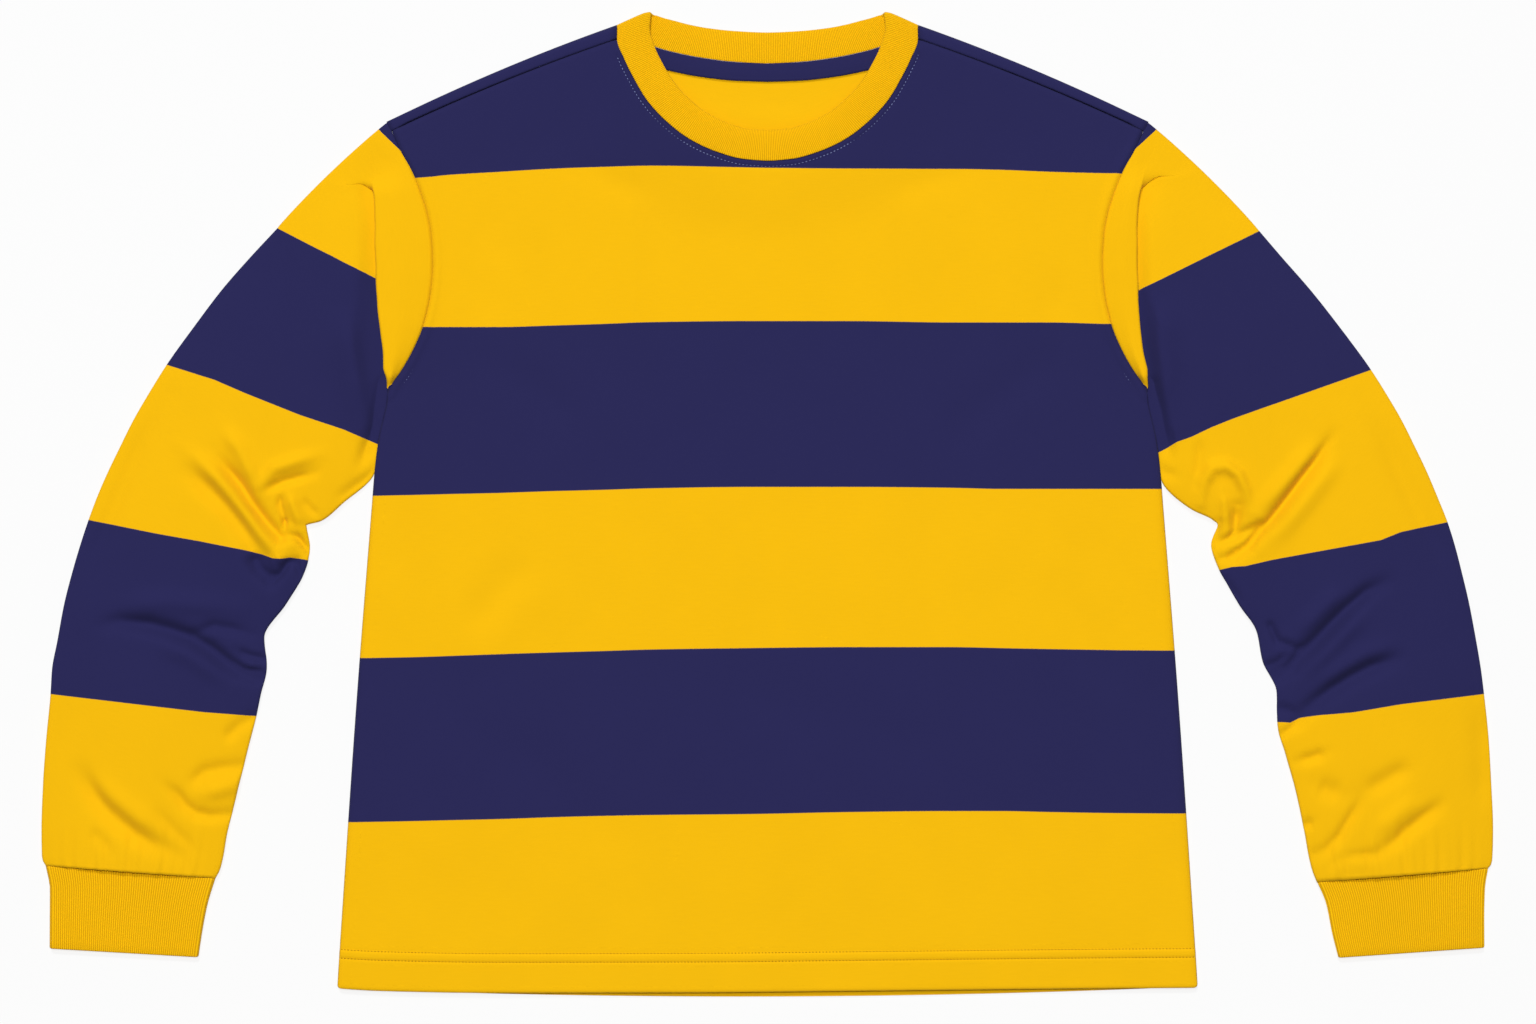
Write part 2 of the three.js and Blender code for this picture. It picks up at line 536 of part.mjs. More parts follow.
// The pleat's rows across its fold, from the armhole: the flap, its mountain turn, the
// return under it and the valley turn onto the main sleeve. Each gives its distance out
// from the seam, its height, and how far the cloth leans there from lying face up.
function pleatProfile(reach, tuck, flapLayer, mainLayer, spread) {
  const openTurn = THREE.MathUtils.clamp(-tuck / 4, TIGHTEST_TURN, WIDEST_TURN);
  const turn = Math.max((flapLayer - mainLayer) / 4, openTurn);
  const mountain = flat(reach - turn - HALF_CLOTH, flapLayer - turn);
  const valley = flat(mountain.x - tuck, mainLayer + turn);
  const drop = mountain.y - valley.y;
  const apart = Math.max(Math.hypot(tuck, drop), 2 * turn);
  const slope = Math.atan2(drop, -tuck) + Math.asin((2 * turn) / apart);
  const bend = Math.min(slope, MOST_BEND);
  const round = (centre, angle, sign, away) => {
    const arc = flat(Math.sin(angle), Math.cos(angle)).multiplyScalar(sign * turn);
    return { at: centre.clone().add(arc).add(flat(away, 0)), lean: angle };
  };
  return [
    { at: flat(0.5 * mountain.x, flapLayer), lean: 0 },
    round(mountain, 0, 1, -spread),
    round(mountain, bend / 2, 1, 0),
    round(mountain, bend, 1, spread),
    round(valley, bend, -1, -spread),
    round(valley, bend / 2, -1, 0),
    round(valley, 0, -1, spread),
  ];
}

// How much of the pleat stands at a place along the armhole: none at its two ends
const pleatShare = (along) => smoothstep(along, 0.05, 0.3) * (1 - smoothstep(along, 0.84, 1));

const UP = new THREE.Vector3(0, 0, 1);
const DOWN = new THREE.Vector3(0, 0, -1);
const TURN_ANGLES = [0, 0.25 * Math.PI, 0.5 * Math.PI, 0.75 * Math.PI, Math.PI];

// Points round a sleeve's folded edge, in the upright plane of its way in from the edge
function sleeveTurn(edge, way, topLayer) {
  const turn = (topLayer - FLOOR_LAYER) / 2;
  const inset = edge.clone().addScaledVector(way, turn + HALF_CLOTH);
  const centre = lift(inset, (topLayer + FLOOR_LAYER) / 2);
  return TURN_ANGLES.map((angle) => {
    const normal = lift(way.clone().multiplyScalar(-Math.sin(angle)), Math.cos(angle));
    return { place: centre.clone().addScaledVector(normal, turn), normal };
  });
}

// A closed ring round the sleeve from its top and bottom layers, which the two folds join
function sleeveRing(side, { top, bottom }, innerWay, outerWay) {
  const last = top.length - 1;
  const over = top.slice(1, last).map(({ place, layer, normal }) => {
    return { place: lift(place, layer), normal };
  });
  const innerTurn = sleeveTurn(top[last].place, innerWay, top[last].layer);
  const under = bottom.slice(1, -1).map((place) => ({ place: lift(place, FLOOR_LAYER), normal: DOWN }));
  const outerTurn = sleeveTurn(top[0].place, outerWay, top[0].layer);
  const mirror = ({ x, y, z }) => new THREE.Vector3(side * x, y, z);
  return [...over, ...innerTurn, ...under.reverse(), ...outerTurn.reverse()].map(({ place, normal }) => {
    return { ...plain(mirror(place)), normal: normal && mirror(normal) };
  });
}

// How far the pleat's rows are spread evenly, toward the armpit
const evenShare = (along) => smoothstep(along, 0.83, 0.95);
const PLEAT_ROWS = 7;

// From the armhole to the first section, out first and then down, as the sleeve goes round
// the armpit
const roundArmpit = (from, to, share) => bowed(from, flat(to.x, from.y), to, share);

function makeSleeve(name, side, { sections, corners, pleat, troughs }) {
  const stations = armholeStations(ARMHOLE_ROWS);
  const bottomStations = armholeStations(BACK_ARMHOLE_ROWS);
  const cornerOf = (section) => corners.find(({ stripe }) => stripe === section.stripe);
  const first = sections[0];
  const firstTop = (along) => sectionPlace(first, along, cornerOf(first));
  const firstLayer = (along) => {
    const upper = lerp(EDGE_LAYER, MAIN_LAYER, smoothstep(along, 0, 0.3));
    return lerp(upper, ARMPIT_MAIN_LAYER, along ** 4);
  };
  const seamRow = stations.map(({ place }) => ({ place, layer: armholeLayer(place.y), normal: UP }));
  const profiles = stations.map(({ along, place }, column) => {
    const share = pleatShare(along);
    const plainWay = sectionPlace(first, along).sub(place).normalize();
    const way = plainWay.lerp(flat(1, 0), share).normalize();
    const reach = lookUp(pleat, "along", "reach", along);
    const tuck = lookUp(pleat, "along", "tuck", along);
    const mainLayer = firstLayer(along);
    const rise = lerp(OPEN_RISE, FLAP_RISE, share);
    const flapLayer = Math.max(armholeLayer(place.y), mainLayer + rise);
    const spread = (1 - share) * (along < 0.5 ? 2 : 0.5);
    const profile = pleatProfile(reach, tuck, flapLayer, mainLayer, spread);
    return profile.map(({ at, lean }, row) => {
      const step = (row + 1) / (PLEAT_ROWS + 1);
      const even = roundArmpit(place, firstTop(along), step);
      const evenLayer = lerp(seamRow[column].layer, mainLayer, step);
      const folded = place.clone().addScaledVector(way, at.x);
      const leaning = lift(way.clone().multiplyScalar(Math.sin(lean)), Math.cos(lean));
      return {
        place: folded.lerp(even, evenShare(along)),
        layer: lerp(at.y, evenLayer, evenShare(along)),
        normal: leaning.lerp(UP, evenShare(along)).normalize(),
      };
    });
  });
  const capRows = [seamRow];
  for (let row = 0; row < PLEAT_ROWS; row += 1) capRows.push(profiles.map((profile) => profile[row]));
  const firstRun = firstTop(0).distanceTo(seamRow[0].place);
  const cap = capRows.map((row, i) => {
    const outerShare = row[0].place.distanceTo(seamRow[0].place) / firstRun;
    const bottom = bottomStations.map(({ along, place }) => {
      const share = lerp(outerShare, i / (PLEAT_ROWS + 1), along);
      const end = sectionPlace(first, along);
      return place.clone().lerp(end, share).lerp(roundArmpit(place, end, share), evenShare(along));
    });
    return { top: row, bottom };
  });
  const rest = sections.map((section) => {
    const low = smoothstep(section.stripe, 1, 2.4);
    const corner = cornerOf(section);
    const top = stations.map(({ along }) => {
      const place = sectionPlace(section, along, corner);
      const puffed = SLEEVE_SIDE_LAYER + PUFF * Math.sin(Math.PI * along) ** 0.7;
      const layer = lerp(firstLayer(along), puffed, Math.max(low, 1 - smoothstep(along, 0.1, 0.55)));
      const dip = troughDepth(troughs, place.x, place.y) * low;
      return { place, layer: Math.max(layer - dip, MAIN_LAYER), normal: corner && UP };
    });
    return { top, bottom: bottomStations.map(({ along }) => sectionPlace(section, along)) };
  });
  const sheets = [...cap, ...rest];
  const alongSeam = stations[1].place.clone().sub(stations[0].place).normalize();
  const wayIn = (i, column) => {
    if (i === 0 && column === 0) return alongSeam;
    const before = sheets[Math.max(i - 1, 0)].top.at(column).place;
    const after = sheets[Math.min(i + 1, sheets.length - 1)].top.at(column).place;
    const run = after.clone().sub(before).normalize();
    return column === 0 ? flat(run.y, -run.x) : flat(-run.y, run.x);
  };
  const rings = sheets.map((sheet, i) => sleeveRing(side, sheet, wayIn(i, -1), wayIn(i, 0)));
  return clothWall(name, rings, YELLOW, { closed: true, flip: side < 0 });
}

function makeCuff(name, side, sections) {
  const shares = [0, 0.25, 0.5, 0.75, 1];
  const turns = [0, 0.25, 0.5, 0.75, 1].map((share) => share * Math.PI);
  const rings = sections.map((section) => {
    const outer = flat(section.outerX, section.outerY);
    const inner = flat(section.innerX, section.innerY);
    const wayIn = inner.clone().sub(outer).normalize();
    const wayOut = wayIn.clone().negate();
    const innerTurn = foldedEdge(inner, wayOut, wayOut, CUFF_TOP_LAYER, HALF_RIB, HALF_RIB, turns);
    const outerTurn = foldedEdge(outer, wayIn, wayIn, CUFF_TOP_LAYER, HALF_RIB, HALF_RIB, turns);
    const middles = shares.slice(1, -1).map((share) => outer.clone().lerp(inner, share));
    const top = middles.map((place) => lift(place, CUFF_TOP_LAYER));
    const bottom = middles.map((place) => lift(place, HALF_RIB)).reverse();
    const ring = [...top, ...innerTurn, ...bottom, ...outerTurn.reverse()];
    return ring.map((place) => plain(new THREE.Vector3(side * place.x, place.y, place.z), HALF_RIB));
  });
  return clothWall(name, rings, RIB_YELLOW, { closed: true, flip: side > 0 });
}

// The neckband: a ring that turns over at both shoulder folds, seam edge to free edge
function makeNeckband() {
  const across = [0, 0.5, 1];
  const turns = [0.2, 0.4, 0.6, 0.8].map((share) => share * Math.PI);
  const placeOn = (row, share) => flat(lerp(row.seamX, row.freeX, share), lerp(row.seamY, row.freeY, share));
  const rows = across.map((share) => {
    const edge = placeOn(NECK_FOLD, share);
    const frontHalf = FRONT_NECK.map((row) => lift(placeOn(row, share), NECK_LAYER));
    const backHalf = BACK_NECK.map((row) => lift(placeOn(row, share), HALF_RIB));
    const lastFront = frontHalf[frontHalf.length - 1];
    const frontWay = flat(lastFront.x, lastFront.y).sub(edge).normalize();
    const backWay = flat(backHalf[0].x, backHalf[0].y).sub(edge).normalize();
    const turned = foldedEdge(edge, frontWay, backWay, NECK_LAYER, HALF_RIB, HALF_RIB, turns);
    const half = [...frontHalf, ...turned, ...backHalf];
    const mirrored = half
      .slice(1, -1)
      .reverse()
      .map((place) => new THREE.Vector3(-place.x, place.y, place.z));
    return [...half, ...mirrored].map((place) => plain(place, HALF_RIB));
  });
  return clothWall("neckband", rows, RIB_YELLOW, { closed: true });
}

// Inside the back neck, the tape lies over the band's seam and the facing below it
function backNeckPlaces(drop, reach) {
  const half = [...BACK_NECK].reverse().filter(({ seamX }) => seamX <= reach);
  const places = half.map(({ seamX, seamY }) => {
    const out = seamX / reach;
    return flat(seamX, seamY - drop(out));
  });
  const mirrored = places
    .slice(1)
    .reverse()
    .map(({ x, y }) => flat(-x, y));
  return [...mirrored, ...places];
}

function makeNeckTape() {
  const rows = [TAPE_WIDTH, 0.4].map((drop) => backNeckPlaces((out) => drop * (1 + 0.1 * out), 97));
  const grid = rows.map((row) => row.map((place) => plain(lift(place, TAPE_LAYER), TRIM / 2)));
  return clothWall("neck_tape", grid, NAVY);
}

function makeFacing() {
  const shares = [1, 0.66, 0.33, 0.02];
  const rows = shares.map((share) => {
    const drop = (out) => 0.8 + share * lerp(FACING_SIDE_DROP, FACING_DROP, Math.sqrt(1 - out * out));
    return backNeckPlaces(drop, 97);
  });
  const grid = rows.map((row) => row.map((place) => plain(lift(place, FACING_LAYER), TRIM / 2)));
  return clothWall("back_neck_facing", grid, YELLOW);
}

const RIGHT = {
  sections: RIGHT_SECTIONS,
  corners: RIGHT_CORNERS,
  pleat: RIGHT_PLEAT,
  troughs: RIGHT_TROUGHS,
};
const LEFT = {
  sections: LEFT_SECTIONS,
  corners: LEFT_CORNERS,
  pleat: LEFT_PLEAT,
  troughs: LEFT_TROUGHS,
};

const shirt = new THREE.Group();
shirt.add(
  makeFront(),
  makeBack(),
  makeSleeve("right_sleeve", -1, RIGHT),
  makeSleeve("left_sleeve", 1, LEFT),
  makeCuff("right_cuff", -1, RIGHT_CUFF),
  makeCuff("left_cuff", 1, LEFT_CUFF),
  makeNeckband(),
  makeNeckTape(),
  makeFacing(),
);

export default shirt;
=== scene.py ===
"""A striped long-sleeved rugby shirt with a rib crew neck, laid flat on its back.

Tables are in millimetres and meshes in metres. +X is the wearer's left, +Y runs up to the
neck, and the shirt lies on Z = 0. Both sleeves are drawn at +X and mirrored onto their side.
"""

import logging
import math
from collections.abc import Sequence
from dataclasses import dataclass
from enum import Enum

import bmesh
import bpy
import numpy as np
from mathutils import Matrix, Vector
from numpy.typing import ArrayLike


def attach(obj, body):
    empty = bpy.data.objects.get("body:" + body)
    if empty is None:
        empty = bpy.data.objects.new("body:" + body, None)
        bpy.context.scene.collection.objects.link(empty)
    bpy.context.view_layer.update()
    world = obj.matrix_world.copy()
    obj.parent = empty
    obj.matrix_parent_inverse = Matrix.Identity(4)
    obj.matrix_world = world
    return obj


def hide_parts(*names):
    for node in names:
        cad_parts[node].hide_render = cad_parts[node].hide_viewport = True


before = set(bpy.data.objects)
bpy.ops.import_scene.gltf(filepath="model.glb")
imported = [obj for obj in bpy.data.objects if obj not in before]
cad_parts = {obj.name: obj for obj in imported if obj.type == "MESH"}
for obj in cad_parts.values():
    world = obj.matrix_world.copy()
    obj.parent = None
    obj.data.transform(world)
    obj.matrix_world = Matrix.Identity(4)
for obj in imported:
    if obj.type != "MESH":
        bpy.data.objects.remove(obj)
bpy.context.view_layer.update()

log = logging.getLogger("rugby_shirt")

Amount = float | np.ndarray
Input = bpy.types.NodeSocket | float | tuple[float, ...]
Rows = tuple[tuple[float, ...], ...]

MM = 0.001
CLOTH = 1.0
RIB = 2.4
FLOOR_LAYER = 0.6
BODY_LAYER = 4.8
EDGE_LAYER = 4.0
FLAP_LAYER = 6.0
NECK_LAYER = 8.4

ARMPIT_Y = 77.7
HEM_HALF = 300.8
CORNER = 2.2
TIP = (266.0, 266.7)
SEAM_AT_TIP = (262.9, 260.4)
NECK_POINT = (105.35, 334.6)
SEAM_AT_NECK = (105.0, 324.1)

# Height up the body, half the body's width
BODY_EDGE = (
    (-346, 301.2), (-337, 300.7), (-250, 295.1), (-138, 287.4), (0, 276.6), (20, 275.0),
    (35, 273.3), (50, 270.8), (62, 267.8), (71, 266.0), (77.7, 265.5), (83.5, 262.9),
    (92.5, 256.3), (108.5, 247.2), (124, 240.8), (147, 235.6), (166, 234.0), (187, 235.0),
    (200, 237.2), (215, 241.6), (233, 249.0), (247, 256.8), (260.4, 262.9), (266.7, 266.0),
)

# Across the body, the front hem's lower edge
FRONT_HEM = (
    (-301, -339.6), (-271, -341.2), (-187, -342.6), (-54, -342.4), (58, -341.3),
    (233, -339.5), (301, -339.0),
)

# The neckband's seam and free edge: seam x, seam y, free x, free y
FRONT_NECK = (
    (0, 239.4, 0, 260.8), (17.0, 240.7, 12.8, 261.5), (34.0, 245.2, 25.6, 264.8),
    (53.6, 254.1, 42.4, 272.9), (71.8, 268.1, 54.6, 282.6), (84.4, 282.1, 65.2, 294.2),
    (92.8, 296.1, 73.2, 307.3), (99.8, 310.1, 78.6, 318.6), (105.0, 324.1, 82.2, 332.0),
)
NECK_FOLD = (105.35, 334.6, 81.9, 345.1)
BACK_NECK = (
    (97.0, 328.4, 78.2, 342.9), (88.0, 323.6, 72.6, 340.9), (77.4, 319.2, 65.6, 338.6),
    (63.4, 315.4, 55.5, 335.4), (47.3, 312.2, 43.0, 332.9), (22.8, 309.1, 21.4, 330.6),
    (0, 308.0, 0, 329.7),
)

# Across the body, the height at which each stripe of the front starts, from the yoke down
BODY_STRIPES = (
    (-300, 227.5, 123.2, 4.5, -108.8, -223.6),
    (-246, 227.5, 123.2, 5.6, -107.8, -222.6),
    (-222, 229.6, 123.2, 6.2, -107.0, -222.0),
    (-187, 231.7, 123.2, 7.0, -105.7, -221.2),
    (-152, 233.8, 124.2, 8.2, -104.6, -220.0),
    (-117, 235.2, 125.3, 9.1, -103.6, -219.1),
    (-82, 235.9, 126.6, 10.2, -102.5, -218.4),
    (-12, 234.5, 127.4, 11.2, -101.5, -217.7),
    (58, 233.8, 127.4, 11.2, -100.8, -216.3),
    (128, 233.8, 126.4, 10.6, -100.8, -215.6),
    (163, 233.1, 126.4, 9.8, -101.5, -215.6),
    (198, 231.7, 126.4, 9.8, -102.2, -216.3),
    (241, 230.6, 125.3, 9.8, -102.9, -217.0),
    (300, 230.0, 125.0, 9.8, -103.4, -217.4),
)
STRIPE = 115.0


def through(places: ArrayLike, values: ArrayLike, at: ArrayLike) -> np.ndarray:
    """Read a smooth curve through the rows of a table, with no overshoot between them.

    Args:
        places: The rows' places, rising or falling.
        values: A value, or an array of values, for each row.
        at: The places to read.

    Returns:
        The values there, held at the table's ends.
    """
    x = np.asarray(places, dtype=float)
    y = np.asarray(values, dtype=float)
    if x[0] > x[-1]:
        x, y = x[::-1], y[::-1]
    step = np.diff(x).reshape((-1,) + (1,) * (y.ndim - 1))
    rise = np.diff(y, axis=0) / step
    slope = np.empty_like(y)
    slope[0], slope[-1] = rise[0], rise[-1]
    before, after = rise[:-1], rise[1:]
    near, far = step[:-1] + 2 * step[1:], 2 * step[:-1] + step[1:]
    agree = before * after > 0
    safe_before, safe_after = np.where(agree, before, 1.0), np.where(agree, after, 1.0)
    mean = (near + far) / (near / safe_before + far / safe_after)
    slope[1:-1] = np.where(agree, mean, 0.0)
    at = np.clip(np.asarray(at, dtype=float), x[0], x[-1])
    i = np.clip(np.searchsorted(x, at) - 1, 0, len(x) - 2)
    tail = (1,) * (y.ndim - 1)
    run = (x[i + 1] - x[i]).reshape(at.shape + tail)
    t = (at - x[i]).reshape(at.shape + tail) / run
    start = (2 * t**3 - 3 * t**2 + 1) * y[i] + (t**3 - 2 * t**2 + t) * run * slope[i]
    end = (3 * t**2 - 2 * t**3) * y[i + 1] + (t**3 - t**2) * run * slope[i + 1]
    return start + end


def read(table: Rows, at: ArrayLike, column: int = 1) -> np.ndarray:
    """Read one column of a table smoothly, by its first column."""
    rows = np.asarray(table, dtype=float)
    return through(rows[:, 0], rows[:, column], at)


def mix(low: Amount, high: Amount, share: Amount) -> Amount:
    """Blend from one value to another."""
    return low + (high - low) * share


def ease(value: ArrayLike, low: Amount, high: Amount) -> np.ndarray:
    """Rise smoothly from 0 to 1 as a value goes from low to high."""
    t = np.clip((np.asarray(value, dtype=float) - low) / (high - low), 0, 1)
    return t * t * (3 - 2 * t)


def run_lengths(line: np.ndarray) -> np.ndarray:
    """Add up the length of a line of points, from 0 at its first."""
    steps = np.linalg.norm(np.diff(line, axis=0), axis=1)
    return np.concatenate([[0.0], np.cumsum(steps)])


def unit(ways: np.ndarray) -> np.ndarray:
    """Scale directions to length 1."""
    return ways / np.maximum(np.linalg.norm(ways, axis=-1, keepdims=True), 1e-9)


def doubled(half: np.ndarray, sign: float = 1.0) -> np.ndarray:
    """Put a half's mirror image before it, with the middle once."""
    return np.concatenate([sign * half[:0:-1], half])


def relief(rows: Rows, distance: np.ndarray) -> np.ndarray:
    """Add up soft rolls and grooves, given as distance, spread and height, beside a seam."""
    return sum(rise * np.exp(-(((distance - at) / spread) ** 2)) for at, spread, rise in rows)


def to_line(points: np.ndarray, line: ArrayLike, endless: bool = False) -> tuple[np.ndarray, np.ndarray]:
    """Measure points against a line in the plane.

    Args:
        points: The places, one a row.
        line: The line's points.
        endless: Whether the line's two ends run on.

    Returns:
        Each point's distance, more than nothing on the line's right, and how far along the
        line it is, from 0 to 1.
    """
    line = np.asarray(line, dtype=float)
    reach = run_lengths(line)
    best = np.full(len(points), np.inf)
    side = np.ones(len(points))
    along = np.zeros(len(points))
    for i, (start, end) in enumerate(zip(line[:-1], line[1:])):
        run = end - start
        share = (points - start) @ run / (run @ run)
        low = -np.inf if endless and i == 0 else 0.0
        high = np.inf if endless and i == len(line) - 2 else 1.0
        share = np.clip(share, low, high)
        away = points - (start + share[:, None] * run)
        distance = np.linalg.norm(away, axis=1)
        closer = distance < best
        turn = np.where(run[0] * away[:, 1] - run[1] * away[:, 0] < 0, 1.0, -1.0)
        best = np.where(closer, distance, best)
        side = np.where(closer, turn, side)
        along = np.where(closer, reach[i] + share * (reach[i + 1] - reach[i]), along)
    return best * side, along / reach[-1]


def stripe_number(below: np.ndarray) -> np.ndarray:
    """Turn distances below each stripe's start into one number, whole at each start.

    Args:
        below: Distances below each stripe's start, one place a row.

    Returns:
        The number at each place.
    """
    number = below[:, 0] / STRIPE
    for k in range(below.shape[1] - 1):
        inside = (below[:, k] >= 0) & (below[:, k + 1] < 0)
        share = below[:, k] / np.maximum(below[:, k] - below[:, k + 1], 1e-6)
        number = np.where(inside, k + share, number)
    last = below.shape[1] - 1
    return np.where(below[:, last] >= 0, last + below[:, last] / STRIPE, number)


def body_stripes(points: np.ndarray) -> np.ndarray:
    """Give the stripe number at places on the body.

    Args:
        points: Places on the shirt, one a row.

    Returns:
        The number at each place.
    """
    rows = np.asarray(BODY_STRIPES, dtype=float)
    starts = through(rows[:, 0], rows[:, 1:], points[:, 0])
    return np.minimum(stripe_number(starts - points[:, 1:2]), 4.9)


@dataclass(frozen=True)
class Crease:
    """A soft ridge, or a trough where its height is less than nothing, along a drawn line.

    The two widths are how far it spreads to the line's left and right, and the two ends are
    the share of its height that it starts and stops with.
    """

    line: tuple[tuple[float, float], ...]
    height: float
    left: float
    right: float
    start: float = 0.0
    end: float = 0.0

    def lift(self, points: np.ndarray) -> np.ndarray:
        """Give the height that the crease adds at places.

        Args:
            points: Places in the plane, one a row.

        Returns:
            The height at each.
        """
        distance, along = to_line(points, self.line)
        width = np.where(distance > 0, self.right, self.left)
        rise = mix(self.start, 1.0, ease(along, 0, 0.35))
        fall = mix(self.end, 1.0, 1 - ease(along, 0.65, 1))
        return self.height * rise * fall * np.exp(-((distance / width) ** 2))


def creased(creases: tuple[Crease, ...], points: np.ndarray) -> np.ndarray:
    """Add up the heights of several creases at places."""
    return sum((crease.lift(points) for crease in creases), np.zeros(len(points)))


class Side(Enum):
    """The wearer's side, by the sign of its X."""

    RIGHT = -1
    LEFT = 1

    @property
    def word(self) -> str:
        """The side's name in a piece's name."""
        return self.name.lower()


@dataclass(frozen=True)
class BodyPattern:
    """The flat body: its outline and the height of its front layer."""

    hem_top: float = -311.0
    side_round: float = 6.0
    back_hem: tuple[float, float, float] = (-18.0, -345.8, 7.0e-5)

    def half_width(self, y: np.ndarray) -> np.ndarray:
        """Half the body's width at a height."""
        return read(BODY_EDGE, y)

    def fold_y(self, x: np.ndarray) -> np.ndarray:
        """The outline along the shoulder, where the back turns over to the front."""
        run = np.abs(x) - NECK_POINT[0]
        return NECK_POINT[1] - 0.35 * run - 0.00043 * run * run

    def seam_y(self, x: np.ndarray) -> np.ndarray:
        """The shoulder seam, on the front."""
        share = (np.abs(x) - SEAM_AT_NECK[0]) / (SEAM_AT_TIP[0] - SEAM_AT_NECK[0])
        return self.fold_y(x) - mix(10.4, 8.3, share)

    def front_hem_y(self, x: np.ndarray) -> np.ndarray:
        """The front hem's lower edge."""
        return read(FRONT_HEM, x)

    def back_hem_y(self, x: np.ndarray) -> np.ndarray:
        """The back hem's lower edge."""
        lowest_x, lowest_y, bow = self.back_hem
        return lowest_y + bow * (x - lowest_x) ** 2

    def shoulder_layer(self, x: np.ndarray) -> np.ndarray:
        """The front layer's height along the shoulder."""
        share = (np.abs(x) - NECK_POINT[0]) / (TIP[0] - NECK_POINT[0])
        return mix(NECK_LAYER, EDGE_LAYER, np.clip(share, 0, 1))

    def armhole_layer(self, y: np.ndarray) -> np.ndarray:
        """The front layer's height along the armhole seam."""
        share = np.clip((TIP[1] - y) / (TIP[1] - ARMPIT_Y), 0, 1)
        return EDGE_LAYER + (FLAP_LAYER - EDGE_LAYER) * np.sin(np.pi * share) ** 0.4

    def armhole(self, gap: float = 0.0) -> np.ndarray:
        """The armhole's line from the shoulder tip to the armpit, moved outward by a gap.

        Args:
            gap: How far to move it.

        Returns:
            The line's places.
        """
        y = np.linspace(TIP[1], ARMPIT_Y, 160)
        line = np.stack([self.half_width(y), y], axis=1)
        way = unit(np.gradient(line, axis=0))
        return line + gap * np.stack([-way[:, 1], way[:, 0]], axis=1)

    def neckline(self, gap: float = 0.0) -> np.ndarray:
        """The front neck seam from centre front to the shoulder, moved outward by a gap.

        Args:
            gap: How far to move it.

        Returns:
            The line's places.
        """
        rows = np.asarray(FRONT_NECK, dtype=float)
        at = run_lengths(rows[:, :2])
        line = through(at, rows[:, :2], np.linspace(0, at[-1], 120))
        way = unit(np.gradient(line, axis=0))
        return line + gap * np.stack([way[:, 1], -way[:, 0]], axis=1)

    def front_height(self, points: np.ndarray) -> np.ndarray:
        """The height of the front layer at places.

        Args:
            points: Places on the front, one a row.

        Returns:
            The height of the cloth's middle there.
        """
        x, y = points[:, 0], points[:, 1]
        mirrored = np.stack([np.abs(x), y], axis=1)
        body = BODY_LAYER + creased(BODY_CREASES, points)
        from_seam = self.seam_y(x) - y
        from_neck = np.abs(to_line(mirrored, self.neckline())[0])
        from_top = np.where(np.abs(x) < SEAM_AT_NECK[0], from_neck, np.minimum(from_seam, from_neck))
        end_layer = np.where(np.abs(x) < SEAM_AT_NECK[0], NECK_LAYER, self.shoulder_layer(x))
        layer = mix(end_layer, body, ease(from_top, 0, 60))
        from_edge = np.maximum(self.half_width(y) - np.abs(x), 0)
        seam_layer = mix(self.armhole_layer(y), end_layer, ease(y, 235, SEAM_AT_TIP[1]))
        beside_arm = mix(seam_layer, layer, ease(from_edge, 0, 45))
        above_hem = ease(y, self.hem_top - 20, -280)
        low = mix(2.9, 2.1, above_hem)
        edge_layer = mix(low, EDGE_LAYER, ease(y, 0, ARMPIT_Y - 20))
        near = np.minimum(from_edge / self.side_round, 1)
        beside_side = mix(edge_layer, layer, np.sqrt(1 - (1 - near) ** 2))
        height = mix(beside_side, beside_arm, ease(y, 66, 96))
        from_armhole = np.abs(to_line(mirrored, self.armhole())[0])
        height += relief(ARMHOLE_RELIEF, from_armhole) + relief(NECK_RELIEF, from_neck)
        outside = np.abs(x) > SEAM_AT_NECK[0]
        height += np.where(outside, relief(SHOULDER_RELIEF, from_seam), 0)
        above = y - self.front_hem_y(x)
        height += 0.5 * (1 - ease(above, 26.6, 28.4))
        height += 0.18 * np.exp(-(((above - 24.2) / 2.2) ** 2))
        for row in HEM_ROWS:
            height -= 0.42 * np.exp(-(((above - row) / 0.8) ** 2))
        turn = np.clip(above / 2.2, 0, 1)
        return height - 1.1 * (1 - np.sqrt(1 - (1 - turn) ** 2))


HEM_ROWS = (27.2, 21.2)

# Distance from the seam, spread and height of each roll or groove beside it
ARMHOLE_RELIEF = ((3.4, 2.4, 0.70), (0.0, 1.2, -1.0), (6.8, 1.1, -0.40))
NECK_RELIEF = ((2.3, 1.5, 0.80), (0.0, 1.0, -1.0), (4.1, 0.9, -0.35))
SHOULDER_RELIEF = ((0.0, 1.4, -0.8),)

